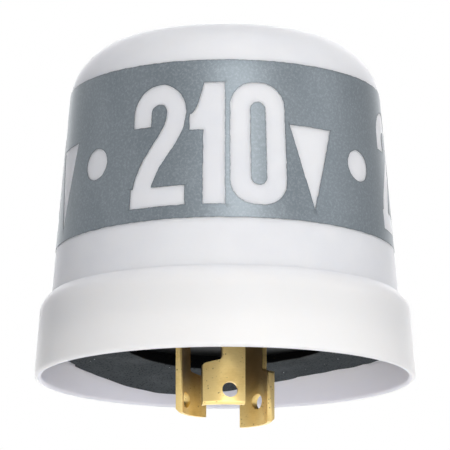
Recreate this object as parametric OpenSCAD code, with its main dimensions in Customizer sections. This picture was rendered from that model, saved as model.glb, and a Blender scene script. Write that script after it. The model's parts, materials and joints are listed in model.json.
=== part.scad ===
// Plug-in photocell switch with a domed cover, a gasket seat and three locking blades.
// Millimetres. Z is the plug-in axis, and z = 0 is the gasket's sealing face.

/* [Cover] */
// Outer diameter at the skirt's rim
rim_d = 82.6; // [80:0.2:86]
// Depth of the rim below the gasket's sealing face
rim_drop = 5.7; // [5:0.1:7]
// Height of the skirt from its rim to its shoulder
skirt_h = 18.5; // [17:0.1:20]
// Outer diameter of the skirt at its shoulder
skirt_top_d = 79.7; // [79:0.1:80.4]
// Rounding of the skirt's shoulder
skirt_round = 4.8; // [4:0.1:5.5]
// Outer diameter of the dome where it leaves the skirt
dome_low_d = 75.2; // [74.6:0.1:75.8]
// Outer diameter of the dome where its side ends
dome_high_d = 67.8; // [66:0.1:70]
// Height of the dome's drafted side
dome_side_h = 42.6; // [40:0.1:46]
// Radius of the dome's upper edge
shoulder_r = 14; // [10:0.5:16]
// Radius of the dome's crown
crown_r = 95; // [70:1:140]
// Wall thickness of the moulding
wall = 1.5; // [1.3:0.05:1.7]
// Stop ribs and snap lugs round the base
catch_count = 6; // [4:1:8]
// Thickness of a stop rib
stop_rib_t = 1.6; // [1:0.1:3]
// Reach of a stop rib into the dome
stop_rib_depth = 1.6; // [1.2:0.1:2]
// Length of a stop rib
stop_rib_h = 6; // [4:0.5:7]
// Reach of a snap lug under the base
lug_depth = 0.6; // [0.4:0.05:0.8]
// Height of a snap lug
lug_h = 2.2; // [1.8:0.1:2.6]
// Angle that a snap lug spans
lug_span = 12; // [8:1:16]

/* [Print] */
// Lower edge of the printed band above the sealing face
band_low = 22.65; // [20:0.05:26]
// Height of the printed band
band_h = 34.7; // [30:0.1:37]
// Thickness of the printed band
band_t = 0.15; // [0.1:0.05:0.3]
// Repeats of the print round the dome
print_count = 3; // [1:1:3]
// Angle that one repeat of the print spans
print_span = 103.5; // [90:0.5:115]
// Direction of the open dot on the left of the front repeat
print_angle = -140.5; // [-150:0.5:-130]
// Diameter of the open dots at the ends of the repeats
dot_d = 6.8; // [4:0.1:10]
// Height of a dot's centre above the band's lower edge
dot_rise = 14.6; // [10:0.1:24]

/* [Gasket] */
// Thickness of the foam ring
gasket_t = 3; // [2.6:0.1:4]
// Diameter of the ring's opening
gasket_hole_d = 44; // [40:0.5:46]

/* [Base] */
// Thickness of the base's web
web_t = 5; // [4.4:0.1:6]
// Height of the base's rim above the web
base_rim_h = 2; // [1.5:0.1:2.4]
// Radial thickness of the base's rim at its top
base_rim_t = 3; // [2:0.1:3.4]
// Bevel on the base's upper edge
base_bevel = 1.2; // [0.8:0.1:1.4]
// Width of the ribs on the web
web_rib_w = 1.8; // [1:0.1:3]

/* [Blades] */
// Outer diameter of the circle that the blades lie on
blade_ring_d = 21.5; // [20:0.1:24]
// Thickness of the blade sheet
blade_t = 1.55; // [1.2:0.05:1.8]
// Direction of the line blade's foot
line_angle = -79.5; // [-100:0.5:-60]
// Angle that the line and load stems span
stem_span = 29; // [24:0.5:34]
// Angle that a hook reaches past its stem
hook_span = 25.5; // [20:0.5:30]
// Angle that the neutral stem spans
neutral_stem_span = 37; // [32:0.5:42]
// Angle from the neutral foot to the middle of its stem
neutral_stem_angle = 9; // [4:0.5:12]
// Angle that the neutral hook reaches past its stem
neutral_hook_span = 31; // [24:0.5:34]
// Depth of the hooks' upper edge below the sealing face
hook_top_drop = 3.1; // [2.6:0.1:4.4]
// Fall of a hook's upper edge towards its tip
hook_ramp = 0.8; // [0.4:0.1:1.6]
// Depth of the line and load blades below the sealing face
blade_drop = 12.8; // [12:0.1:15]
// Depth of the neutral blade below the sealing face
neutral_drop = 15; // [14:0.1:18]
// Rounding of the hooks' upper corner
blade_round = 0.7; // [0.4:0.1:1.2]
// Rounding inside the hook
hook_fillet = 0.8; // [0.5:0.1:1.2]
// Bevel on the blades' lower outer edge
lead_in = 0.7; // [0.3:0.1:1]
// Diameter of the locking hole in a blade
lock_hole_d = 3.4; // [2.5:0.1:4]
// Depth of the locking holes below the sealing face
lock_hole_drop = 9.7; // [9:0.1:10.5]
// Angle from the line and load blades' feet to their locking holes
lock_hole_angle = 4.5; // [0:0.5:6]
// Width of a blade's foot
foot_w = 7; // [6:0.1:8]
// Distance of the blade rivets from the axis
rivet_circle_r = 26; // [25:0.1:27]
// Shank diameter of the blade rivets
rivet_d = 3.2; // [2.5:0.1:3.6]
// Head diameter of the blade rivets
rivet_head_d = 6; // [5:0.1:6.4]
// Height of the blade rivets' upper head
rivet_head_h = 1.5; // [1:0.1:2]
// Depth of the rivet pockets under the base
rivet_pocket = 1.2; // [1:0.1:1.6]

/* [Switch] */
// Thickness of the bracket sheet
sheet_t = 1; // [0.8:0.05:1.2]
// Inside radius of the bracket bends
bend_r = 0.6; // [0.3:0.1:1]
// Width of the brackets
bracket_w = 8; // [7:0.1:9]
// Distance from a rivet to its bracket's upright
upright_back = 4.5; // [4:0.1:5]
// Height of the arm bracket's shelf above the web
shelf_rise = 22; // [20:0.5:26]
// Length of the arm bracket's shelf
shelf_len = 6.5; // [6:0.1:7.5]
// Thickness of the leaf
leaf_t = 0.3; // [0.2:0.05:0.5]
// Width of the leaf and the arm
arm_w = 6; // [5:0.1:7]
// Reach of the leaf past the shelf
leaf_reach = 3; // [2:0.1:4]
// Shank diameter of the leaf's rivets
leaf_rivet_d = 1.6; // [1.2:0.1:1.8]
// Head diameter of the leaf's rivets
leaf_rivet_head_d = 2.4; // [2:0.1:2.5]
// Head thickness of the leaf's rivets
leaf_rivet_head_h = 0.5; // [0.3:0.1:0.8]
// Thickness of the switching arm
arm_t = 0.8; // [0.5:0.05:1]
// Distance from the contact bracket's rivet to the contacts
contact_back = 10; // [9:0.1:12]
// Diameter of the contacts
contact_d = 4.4; // [3.5:0.1:5]
// Thickness of the contacts
contact_t = 1; // [0.6:0.1:1.4]
// Shank diameter of the moving contact
contact_shank_d = 1.9; // [1.5:0.1:2.2]
// Diameter of the moving contact's clinched tail
contact_tail_d = 2.8; // [2.5:0.1:3.4]
// Thickness of the moving contact's clinched tail
contact_tail_t = 0.5; // [0.3:0.1:0.8]
// Distance from the fixed contact to the bracket's tab
tab_gap = 3.5; // [2:0.1:5]
// Diameter of the adjusting screw
screw_d = 3.4; // [3:0.1:4]
// Length of the adjusting screw above its nut
screw_end = 2.5; // [2:0.1:4]
// Width of the slot in the adjusting screw
screw_slot_w = 0.7; // [0.5:0.1:1]
// Depth of the slot in the adjusting screw
screw_slot_depth = 1.2; // [0.8:0.1:1.6]
// Width across the flats of the lock nut
nut_af = 5.5; // [5:0.1:6]
// Height of the lock nut
nut_h = 2.4; // [2:0.1:3]

/* [Heater and photocell] */
// Diameter of the heater's body
heater_d = 6; // [5:0.1:6.4]
// Length of the heater's body
heater_len = 20; // [16:0.5:20]
// Length of the heater's end caps
heater_cap_len = 2; // [1:0.1:3]
// Step from the heater's caps down to its body
heater_cap_step = 0.2; // [0.1:0.05:0.4]
// Distance from the arm down to the heater's axis
heater_drop = 6.2; // [6:0.1:7]
// Diameter of the wire leads
lead_d = 0.8; // [0.6:0.05:1]
// Bend radius of the wire leads
lead_bend = 1.5; // [1.2:0.1:2]
// Length of the crimp between the leads
splice_len = 6; // [5:0.1:8]
// Diameter of the crimp between the leads
splice_d = 2; // [1.6:0.1:2.4]
// Spacing of the two leads on the neutral foot
lead_pitch = 1.2; // [1.1:0.1:1.6]
// Diameter of the photocell
cell_d = 13; // [11:0.1:14]
// Thickness of the photocell
cell_t = 2.2; // [1.6:0.1:3]
// Bevel on the photocell's upper edge
cell_bevel = 0.3; // [0.1:0.05:0.5]
// Height of the photocell's seat above the web
cell_rise = 42; // [36:0.5:44]
// Diameter of the photocell's post
post_d = 10; // [9.4:0.1:11]
// Diameter of the post's flange and tray
tray_d = 16; // [15.4:0.1:16.8]
// Thickness of the post's flange
flange_t = 3; // [2.5:0.1:4]
// Depth of the post's pin in the base
post_pin_len = 3.2; // [2.5:0.1:3.6]
// Diameter of the post's pin
post_pin_d = 5; // [4:0.1:6]
// Distance of each photocell lead from the post's axis
cell_lead_x = 3; // [2.6:0.1:3.2]

/* [Surge arrester] */
// Diameter of the arrester disc
arrester_d = 14; // [10:0.1:16]
// Thickness of the arrester disc
arrester_t = 4.5; // [3:0.1:6]
// Bevel on the arrester disc's edges
arrester_bevel = 0.9; // [0.4:0.1:1.2]
// Height of the coating round the arrester's lead roots
arrester_root_h = 3.5; // [2:0.1:4.5]
// Spacing of the arrester's leads
arrester_pitch = 7.5; // [5:0.1:8]
// Distance of the arrester from the axis
arrester_r = 22; // [21:0.1:23]
// Straight length of the arrester's leads below the disc
arrester_lift = 1.5; // [1:0.1:3]

/* [Clearances] */
// Gap round parts that slip into the moulding
slip_gap = 0.25; // [0.15:0.05:0.4]
// Radial gap round pins, rivets and screws
pin_gap = 0.05; // [0.03:0.01:0.1]
// Gap between faces that rest on each other
touch_gap = 0.05; // [0.02:0.01:0.1]
// Gap between the print and the dome
print_gap = 0.03; // [0.02:0.01:0.05]
// Gap round leads that pass through the post
lead_gap = 0.25; // [0.15:0.05:0.4]
// Distance from the arm's root to the shelf's edge
root_gap = 0.5; // [0.3:0.05:0.8]

/* [Hidden] */
$fn = 96;
// How far cutters reach past the faces that they cut
past = 1;
// How far straight faces lie below the arcs that they run into, so that each arc has clear ends
lap = 0.001;
// Straight steps along a rounded corner of a blade
arc_steps = 8;

// Heights, bottom to top
rim_z = -rim_drop;
base_z = gasket_t;
web_z = base_z + web_t;
base_rim_z = web_z + base_rim_h;
foot_z = web_z + blade_t;
bracket_low_z = foot_z + touch_gap;
bracket_z = bracket_low_z + sheet_t;
shelf_z = web_z + shelf_rise;
step_z = rim_z + skirt_h;
shoulder_z = step_z + dome_side_h;

// Skirt: a drafted wall with a rounded shoulder
rim_r = rim_d / 2;
skirt_lean = atan((rim_r - skirt_top_d / 2) / skirt_h);
skirt_arc = [skirt_r(step_z - skirt_round) - skirt_round / cos(skirt_lean), step_z - skirt_round];
lip = [skirt_r(rim_z + wall / 2) - wall / 2 / cos(skirt_lean), rim_z + wall / 2];

// Dome: a drafted wall, a shoulder arc and a crown arc, each tangent to the next
dome_lean = atan((dome_low_d - dome_high_d) / 2 / dome_side_h);
shoulder_c = [dome_high_d / 2, shoulder_z] - shoulder_r * ray(dome_lean);
crown_turn = acos(shoulder_c.x / (crown_r - shoulder_r));
crown_c = shoulder_c - (crown_r - shoulder_r) * ray(crown_turn);

// Base
base_low_r = skirt_inner_r(base_z) - slip_gap;
base_rim_rise = max(base_rim_z - skirt_arc.y, 0);
base_high_r = skirt_arc.x + sqrt(pow(skirt_round - wall, 2) - pow(base_rim_rise, 2)) - slip_gap;
base_rim_in = base_high_r - base_rim_t - base_bevel;
gasket_r = skirt_inner_r(base_z) - lug_depth - slip_gap;

// Blades: each is [foot angle, stem middle, stem span, hook span, depth, hole angle]
blade_r = blade_ring_d / 2;
blade_mid_r = blade_r - blade_t / 2;
load_angle = line_angle - 120;
neutral_angle = line_angle + 120;
neutral_stem = neutral_angle + neutral_stem_angle;
LINE = [line_angle, line_angle, stem_span, hook_span, blade_drop, line_angle - lock_hole_angle];
LOAD = [load_angle, load_angle, stem_span, hook_span, blade_drop, load_angle - lock_hole_angle];
NEUTRAL = [neutral_angle, neutral_stem, neutral_stem_span, neutral_hook_span, neutral_drop, neutral_angle];
BLADES = [LINE, LOAD, NEUTRAL];
// Seat of each blade rivet's upper head, in the order of BLADES
RIVET_SEATS = [bracket_z, bracket_z, foot_z];

// Switch: drawn with the line rivet on the right, the load rivet on the left, the neutral foot behind
switch_turn = line_angle + 30;
post_x = microns(rivet_circle_r * cos(30));
arm_y = -rivet_circle_r * sin(30);
upright_x = post_x - upright_back;
shelf_x = upright_x - shelf_len;
arm_root_x = shelf_x - root_gap;
arm_z = shelf_z - touch_gap;
contact_x = contact_back - post_x;
contact_z = arm_z + contact_t;
fixed_z = contact_z + touch_gap;
tab_z = fixed_z + contact_t + tab_gap + sheet_t;
bracket_reach = foot_w / 2 + sheet_t;
heater_z = arm_z - heater_drop;
cell_z = web_z + cell_rise;
splice_x = -heater_len / 2 - lead_bend - lead_d;
splice_y = -lead_bend - (lead_d + splice_len) / 2;
foot_lead_z = foot_z + lead_d / 2 + touch_gap;
bracket_lead_z = bracket_z + lead_d / 2 + touch_gap;
arrester_low_z = bracket_lead_z + lead_bend + arrester_lift;
arrester_at = arrester_r * ray(30);
arrester_lead_at = [
    for (s = [-1, 1])
        let (p = arrester_at + s * arrester_pitch / 2 * ray(120))
        [microns(p.x), microns(p.y)]
];

function ray(a) = [cos(a), sin(a)];
function unit(v) = v / norm(v);
// Length rounded to whole microns, so that shapes side by side share their edge
function microns(v) = round(v * 1000) / 1000;
// Outer radius of the skirt's wall, of its inner face, and of the dome's side, at height z
function skirt_r(z) = rim_r - tan(skirt_lean) * (z - rim_z);
function skirt_inner_r(z) = skirt_r(z) - wall / cos(skirt_lean);
function dome_r(z) = dome_low_d / 2 - tan(dome_lean) * (z - step_z);
// Start, centre and end of the arc that rounds corner b of the path a, b, c
function corner(a, b, c, r) =
    let (to_a = unit(a - b), to_c = unit(c - b), half = acos(to_a * to_c) / 2)
    [b + to_a * r / tan(half), b + unit(to_a + to_c) * r / sin(half), b + to_c * r / tan(half)];
// Points along the shorter arc about c from start to end
function arc(start, c, end) =
    let (from = atan2(start.y - c.y, start.x - c.x))
    let (turn = (atan2(end.y - c.y, end.x - c.x) - from + 540) % 360 - 180)
    [for (i = [0:arc_steps]) c + norm(start - c) * ray(from + turn * i / arc_steps)];
// Points of an outline with each corner rounded by its radius, or sharp where that is 0
function rounded(points, radii) =
    let (n = len(points))
    [
        for (i = [0:n - 1])
            let (k = corner(points[(i + n - 1) % n], points[i], points[(i + 1) % n], radii[i]))
            each radii[i] == 0 ? [points[i]] : arc(k[0], k[1], k[2])
    ];

// Slice of a disc between two angles
module pie(c, r, from, to) {
    reach = 2 * r;
    intersection() {
        translate(c) circle(r);
        polygon([
            c,
            c + reach * ray(from),
            c + reach * ray(from + (to - from) / 3),
            c + reach * ray(to - (to - from) / 3),
            c + reach * ray(to)
        ]);
    }
}

// Quarter of a bend in the bracket sheet, in the plane of its section
module bend(c, from) {
    difference() {
        pie(c, bend_r + sheet_t, from, from + 90);
        translate(c) circle(bend_r);
    }
}

// Places a shape at p, with its Z axis along dir and its X axis along side
module place(p, dir, side) {
    y = cross(dir, side);
    multmatrix([
        [side.x, y.x, dir.x, p.x],
        [side.y, y.y, dir.y, p.y],
        [side.z, y.z, dir.z, p.z],
        [0, 0, 0, 1]
    ]) children();
}

// Round wire along a path of points, with arcs at its bends
module wire(path) {
    last = len(path) - 1;
    dirs = [for (i = [0:last - 1]) unit(path[i + 1] - path[i])];
    trims = [
        for (i = [0:last])
            i == 0 || i == last ? 0 : lead_bend * tan(acos(dirs[i - 1] * dirs[i]) / 2)
    ];
    for (i = [0:last - 1]) {
        side = unit(cross(dirs[i], abs(dirs[i].z) > 0.5 ? [1, 0, 0] : [0, 0, 1]));
        run = norm(path[i + 1] - path[i]) - trims[i] - trims[i + 1];
        place(path[i] + dirs[i] * trims[i], dirs[i], side) cylinder(d = lead_d, h = run);
    }
    for (i = [1:1:last - 1]) {
        turn = acos(dirs[i - 1] * dirs[i]);
        centre = path[i] + unit(dirs[i] - dirs[i - 1]) * lead_bend / cos(turn / 2);
        side = unit(path[i] - dirs[i - 1] * trims[i] - centre);
        place(centre, cross(side, dirs[i - 1]), side)
            rotate_extrude(angle = turn) translate([lead_bend, 0]) circle(d = lead_d);
    }
}

// Shapes drawn in the switch's own axes
module in_switch() {
    rotate(switch_turn) children();
}

// Section inside the dome's surface, moved outwards by grow
module dome_section(grow) {
    low_z = skirt_arc.y;
    far = 2 * crown_r;
    tip = shoulder_c + far * ray(crown_turn);
    shoulder_top = shoulder_c + (shoulder_r + grow - lap) * ray(crown_turn);
    polygon([
        [0, low_z],
        [dome_r(low_z) + (grow - lap) / cos(dome_lean), low_z],
        shoulder_c + (shoulder_r + grow - lap) * ray(dome_lean),
        shoulder_top,
        [0, shoulder_top.y]
    ]);
    translate(shoulder_c) circle(shoulder_r + grow);
    intersection() {
        translate(crown_c) circle(crown_r + grow - lap);
        polygon([[0, shoulder_c.y], shoulder_c, tip, [0, tip.y]]);
    }
}

// Section inside the skirt's surface, moved outwards by grow and open below the rim
module skirt_section(grow) {
    low_z = rim_z - wall;
    top_z = step_z + grow - lap;
    polygon([
        [0, low_z],
        [skirt_r(low_z) + (grow - lap) / cos(skirt_lean), low_z],
        skirt_arc + (skirt_round + grow - lap) * ray(skirt_lean),
        [skirt_arc.x, top_z],
        [0, top_z]
    ]);
    translate(skirt_arc) circle(skirt_round + grow);
}

// Section of the cover's wall, with a full round on the rim
module cover_section() {
    across = wall / 2 * ray(skirt_lean);
    down = wall / 2 * ray(skirt_lean - 90);
    clear_across = across + past * ray(skirt_lean);
    clear_down = 2 * (wall + past) * ray(skirt_lean - 90);
    difference() {
        union() {
            dome_section(0);
            skirt_section(0);
        }
        dome_section(-wall);
        skirt_section(-wall);
        polygon([
            lip - clear_across,
            lip - across,
            lip + down / 2,
            lip + across,
            lip + clear_across,
            lip + clear_across + clear_down,
            lip - clear_across + clear_down
        ]);
    }
    translate(lip) circle(wall / 2 + 2 * lap);
}

// Rib inside the dome that the base's rim stops against
module stop_rib() {
    top_z = base_rim_z + touch_gap + stop_rib_h;
    out_r = dome_r(top_z) - wall / 2;
    in_r = dome_r(top_z) - wall - stop_rib_depth;
    translate([in_r, -stop_rib_t / 2, base_rim_z + touch_gap])
        cube([out_r - in_r, stop_rib_t, stop_rib_h]);
}

// Lug inside the skirt that snaps under the base
module snap_lug() {
    top_z = base_z - touch_gap;
    low_z = top_z - lug_h;
    rotate(-lug_span / 2) rotate_extrude(angle = lug_span) polygon([
        [skirt_inner_r(top_z) - lug_depth, top_z],
        [skirt_inner_r(top_z) + wall / 2, top_z],
        [skirt_inner_r(low_z) + wall / 2, low_z],
        [skirt_inner_r(low_z) + wall / 4, low_z],
        [skirt_inner_r(top_z) - lug_depth, top_z - lug_h / 3]
    ]);
}

module cover() {
    color("whitesmoke") {
        rotate_extrude() cover_section();
        for (i = [0:catch_count - 1]) {
            rotate(i * 360 / catch_count) stop_rib();
            rotate((i + 0.5) * 360 / catch_count) snap_lug();
        }
    }
}

module printed_band() {
    color("slategray") difference() {
        rotate_extrude() intersection() {
            difference() {
                dome_section(print_gap + band_t);
                dome_section(print_gap);
            }
            translate([0, band_low]) square([dome_low_d, band_h]);
        }
        for (i = [0:print_count])
            rotate(print_angle + (i - 1) * print_span) translate([0, 0, band_low + dot_rise])
                rotate([0, 90, 0]) cylinder(d = dot_d, h = dome_low_d);
    }
}

module gasket() {
    color("dimgray") difference() {
        cylinder(r = gasket_r, h = gasket_t - touch_gap);
        translate([0, 0, -past]) cylinder(d = gasket_hole_d, h = gasket_t + 2 * past);
    }
}

// Slab that a blade's stem, widened by gap on each side, cuts out of the space round the axis
module stem_slab(blade, gap, low_z, high_z) {
    half = blade_mid_r * sin(blade[2] / 2) + gap;
    rotate(blade[1]) translate([0, -half, low_z]) cube([blade_r + past, 2 * half, high_z - low_z]);
}

module blade_tube(gap, low_z, high_z) {
    h = high_z - low_z;
    difference() {
        translate([0, 0, low_z]) cylinder(r = blade_r + gap, h = h);
        translate([0, 0, low_z - past]) cylinder(r = blade_r - blade_t - gap, h = h + 2 * past);
    }
}

// Hook and stem as they look from outside, straight on to the stem
module blade_outline(blade) {
    stem_y = microns(blade_mid_r * sin(blade[2] / 2));
    tip_y = -microns(blade_mid_r * sin(blade[2] / 2 + blade[3]));
    polygon(rounded([
        [stem_y, foot_z],
        [-stem_y, foot_z],
        [-stem_y, -hook_top_drop],
        [tip_y, -hook_top_drop - hook_ramp],
        [tip_y, -blade[4]],
        [stem_y, -blade[4]]
    ], [0, 0, hook_fillet, blade_round, 0, 0]));
}

// Foot on the web, under the rivet
module blade_foot(blade) {
    rotate(blade[0]) translate([0, 0, web_z + touch_gap]) linear_extrude(blade_t - touch_gap) {
        translate([blade_mid_r, -foot_w / 2]) square([rivet_circle_r - blade_mid_r, foot_w]);
        translate([rivet_circle_r, 0]) circle(d = foot_w);
    }
}

// Space outside the bevel that leads a blade into its slot
module lead_in_cut(blade) {
    translate([0, 0, -blade[4]]) rotate_extrude() polygon([
        [blade_r - lead_in - past, -past],
        [blade_r + past, -past],
        [blade_r + past, lead_in + past]
    ]);
}

module blade(blade) {
    color("goldenrod") difference() {
        union() {
            intersection() {
                blade_tube(0, -blade[4] - past, foot_z);
                rotate(blade[1]) rotate([90, 0, 90]) linear_extrude(blade_r + past) blade_outline(blade);
            }
            blade_foot(blade);
        }
        lead_in_cut(blade);
        rotate(blade[0]) translate([rivet_circle_r, 0, web_z])
            cylinder(d = rivet_d + 2 * pin_gap, h = blade_t + past);
        rotate(blade[5]) translate([0, 0, -lock_hole_drop])
            rotate([0, 90, 0]) cylinder(d = lock_hole_d, h = blade_r + past);
    }
}

module line_blade() {
    blade(LINE);
}

module load_blade() {
    blade(LOAD);
}

module neutral_blade() {
    blade(NEUTRAL);
}

module base() {
    color("black") difference() {
        union() {
            rotate_extrude() polygon([
                [0, base_z],
                [base_low_r, base_z],
                [base_high_r, base_rim_z - base_bevel],
                [base_high_r - base_bevel, base_rim_z],
                [base_rim_in, base_rim_z],
                [base_rim_in, web_z],
                [0, web_z]
            ]);
            for (b = BLADES)
                rotate(b[0] + 60) translate([tray_d / 2 + slip_gap, -web_rib_w / 2, web_z - past])
                    cube([base_rim_in + past - tray_d / 2, web_rib_w, base_rim_h + past - touch_gap]);
        }
        for (b = BLADES) {
            intersection() {
                blade_tube(slip_gap, base_z - past, web_z + past);
                stem_slab(b, slip_gap, base_z - past, web_z + past);
            }
            rotate(b[0]) translate([rivet_circle_r, 0, base_z - past]) {
                cylinder(d = rivet_d + 2 * pin_gap, h = web_t + 2 * past);
                cylinder(d = rivet_head_d + 4 * slip_gap, h = rivet_pocket + past);
            }
        }
        translate([0, 0, web_z - post_pin_len - touch_gap])
            cylinder(d = post_pin_d + 2 * pin_gap, h = post_pin_len + past);
    }
}

// Rivet clinched under the base, with a low domed head on seat_z
module blade_rivet(seat_z) {
    head_r = rivet_head_d / 2;
    ball_r = (head_r * head_r + rivet_head_h * rivet_head_h) / (2 * rivet_head_h);
    pocket_z = base_z + rivet_pocket - touch_gap;
    translate([0, 0, pocket_z]) cylinder(d = rivet_d, h = seat_z + 2 * touch_gap - pocket_z);
    translate([0, 0, base_z + touch_gap]) cylinder(d = rivet_head_d, h = pocket_z - base_z - touch_gap);
    translate([0, 0, seat_z + touch_gap]) rotate_extrude() intersection() {
        translate([0, rivet_head_h - ball_r]) circle(ball_r);
        square([head_r, rivet_head_h]);
    }
}

module blade_rivets() {
    color("darkgoldenrod") for (i = [0:2])
        rotate(BLADES[i][0]) translate([rivet_circle_r, 0, 0]) blade_rivet(RIVET_SEATS[i]);
}

// Z-shaped bracket on the right-hand rivet: a foot, an upright and a shelf that reaches in to end_x
module bracket_sheet(top_z, end_x) {
    foot_bend = [upright_x + sheet_t + bend_r, bracket_z + bend_r];
    shelf_bend = [upright_x - bend_r, top_z - sheet_t - bend_r];
    translate([0, arm_y + bracket_w / 2, 0]) rotate([90, 0, 0]) linear_extrude(bracket_w) {
        translate([foot_bend.x, bracket_low_z]) square([post_x + bracket_reach - foot_bend.x, sheet_t]);
        bend(foot_bend, 180);
        translate([upright_x, foot_bend.y]) square([sheet_t, shelf_bend.y - foot_bend.y]);
        bend(shelf_bend, 0);
        translate([end_x, top_z - sheet_t]) square([shelf_bend.x - end_x, sheet_t]);
    }
}

module rivet_hole() {
    translate([post_x, arm_y, foot_z]) cylinder(d = rivet_d + 2 * pin_gap, h = sheet_t + past);
}

// Points on the shelf where the leaf is riveted
module leaf_rivet_points() {
    edge = leaf_rivet_head_d / 2 + slip_gap;
    for (x = [shelf_x + edge, upright_x - bend_r - edge])
        translate([x, arm_y, 0]) children();
}

module leaf_rivet_holes() {
    leaf_rivet_points() translate([0, 0, shelf_z - sheet_t - past])
        cylinder(d = leaf_rivet_d + 2 * pin_gap, h = sheet_t + leaf_t + 2 * past);
}

module arm_bracket() {
    color("khaki") in_switch() difference() {
        bracket_sheet(shelf_z, shelf_x);
        rivet_hole();
        leaf_rivet_holes();
    }
}

module contact_bracket() {
    color("khaki") in_switch() difference() {
        mirror([1, 0, 0]) difference() {
            bracket_sheet(tab_z, -contact_x - contact_d);
            rivet_hole();
        }
        translate([contact_x, arm_y, tab_z - sheet_t - past])
            cylinder(d = screw_d + 2 * pin_gap, h = sheet_t + 2 * past);
    }
}

module hinge_spring() {
    color("peru") in_switch() difference() {
        translate([shelf_x - leaf_reach, arm_y - arm_w / 2, shelf_z])
            cube([leaf_reach + shelf_len - bend_r, arm_w, leaf_t]);
        leaf_rivet_holes();
    }
}

module spring_rivets() {
    low_z = shelf_z - sheet_t;
    high_z = shelf_z + leaf_t;
    color("darkgoldenrod") in_switch() leaf_rivet_points() {
        for (z = [low_z - leaf_rivet_head_h, high_z])
            translate([0, 0, z]) cylinder(d = leaf_rivet_head_d, h = leaf_rivet_head_h);
        translate([0, 0, low_z]) cylinder(d = leaf_rivet_d, h = high_z - low_z);
    }
}

module bimetal_arm() {
    color("silver") in_switch()
        translate([0, arm_y, arm_z - arm_t]) linear_extrude(arm_t) difference() {
            union() {
                translate([contact_x, -arm_w / 2]) square([arm_root_x - contact_x, arm_w]);
                pie([contact_x, 0], arm_w / 2, 90, 270);
            }
            translate([contact_x, 0]) circle(d = contact_shank_d + 2 * pin_gap);
        }
}

module moving_contact() {
    head_z = arm_z + touch_gap / 2;
    tail_z = arm_z - arm_t - touch_gap / 2;
    color("lightgray") in_switch() translate([contact_x, arm_y, 0]) {
        translate([0, 0, head_z]) cylinder(d = contact_d, h = contact_z - head_z);
        translate([0, 0, tail_z]) cylinder(d = contact_shank_d, h = head_z - tail_z);
        translate([0, 0, tail_z - contact_tail_t]) cylinder(d = contact_tail_d, h = contact_tail_t);
    }
}

module fixed_contact() {
    color("lightgray") in_switch()
        translate([contact_x, arm_y, fixed_z]) cylinder(d = contact_d, h = contact_t);
}

module contact_screw() {
    low_z = fixed_z + contact_t + touch_gap / 2;
    high_z = tab_z + nut_h + screw_end;
    color("goldenrod") in_switch() translate([contact_x, arm_y, 0]) difference() {
        translate([0, 0, low_z]) cylinder(d = screw_d, h = high_z - low_z);
        translate([-screw_d, -screw_slot_w / 2, high_z - screw_slot_depth])
            cube([2 * screw_d, screw_slot_w, screw_slot_depth + past]);
    }
}

module lock_nut() {
    color("darkgoldenrod") in_switch()
        translate([contact_x, arm_y, tab_z + touch_gap / 2]) difference() {
            cylinder(d = nut_af / cos(30), h = nut_h, $fn = 6);
            translate([0, 0, -past]) cylinder(d = screw_d + 2 * pin_gap, h = nut_h + 2 * past);
        }
}

module heater() {
    color("tan") in_switch() translate([-heater_len / 2, arm_y, heater_z]) rotate([0, 90, 0]) {
        for (z = [0, heater_len - heater_cap_len])
            translate([0, 0, z]) cylinder(d = heater_d, h = heater_cap_len);
        translate([0, 0, heater_cap_len])
            cylinder(d = heater_d - 2 * heater_cap_step, h = heater_len - 2 * heater_cap_len);
    }
}

module heater_leads() {
    start = heater_len / 2 + touch_gap / 2;
    color("gainsboro") in_switch() {
        wire([[start, arm_y, heater_z], [upright_x - touch_gap, arm_y, heater_z]]);
        wire([
            [-start, arm_y, heater_z],
            [splice_x, arm_y, heater_z],
            [splice_x, splice_y - lead_d / 2, heater_z]
        ]);
    }
}

module lead_splice() {
    color("silver") in_switch()
        translate([splice_x, splice_y + splice_len / 2, heater_z]) rotate([90, 0, 0]) difference() {
            cylinder(d = splice_d, h = splice_len);
            translate([0, 0, -past]) cylinder(d = lead_d + 2 * pin_gap, h = splice_len + 2 * past);
        }
}

module cell_support() {
    tray_z = cell_z - cell_t;
    bore_d = lead_d + 2 * lead_gap;
    color("beige") in_switch() difference() {
        rotate_extrude() polygon([
            [0, web_z - post_pin_len],
            [post_pin_d / 2, web_z - post_pin_len],
            [post_pin_d / 2, web_z + touch_gap],
            [tray_d / 2, web_z + touch_gap],
            [tray_d / 2, web_z + flange_t],
            [post_d / 2, web_z + flange_t],
            [post_d / 2, tray_z - (tray_d - post_d) / 2],
            [tray_d / 2, tray_z],
            [tray_d / 2, cell_z + cell_t / 2],
            [cell_d / 2 + slip_gap, cell_z + cell_t / 2],
            [cell_d / 2 + slip_gap, cell_z],
            [0, cell_z]
        ]);
        for (end = [[-1, heater_z], [1, foot_lead_z]])
            translate([end[0] * cell_lead_x, 0, end[1] - bore_d / 2])
                cylinder(d = bore_d, h = cell_z + past - end[1] + bore_d / 2);
        translate([-post_d, -bore_d / 2, heater_z - bore_d / 2])
            cube([post_d - cell_lead_x, bore_d, lead_bend + bore_d]);
        translate([cell_lead_x - bore_d / 2, 0, foot_lead_z - bore_d / 2])
            cube([bore_d, tray_d, lead_bend + bore_d]);
    }
}

module photocell() {
    color("salmon") in_switch() translate([0, 0, cell_z + touch_gap]) rotate_extrude() polygon([
        [0, 0],
        [cell_d / 2, 0],
        [cell_d / 2, cell_t - cell_bevel],
        [cell_d / 2 - cell_bevel, cell_t],
        [0, cell_t]
    ]);
}

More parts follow.
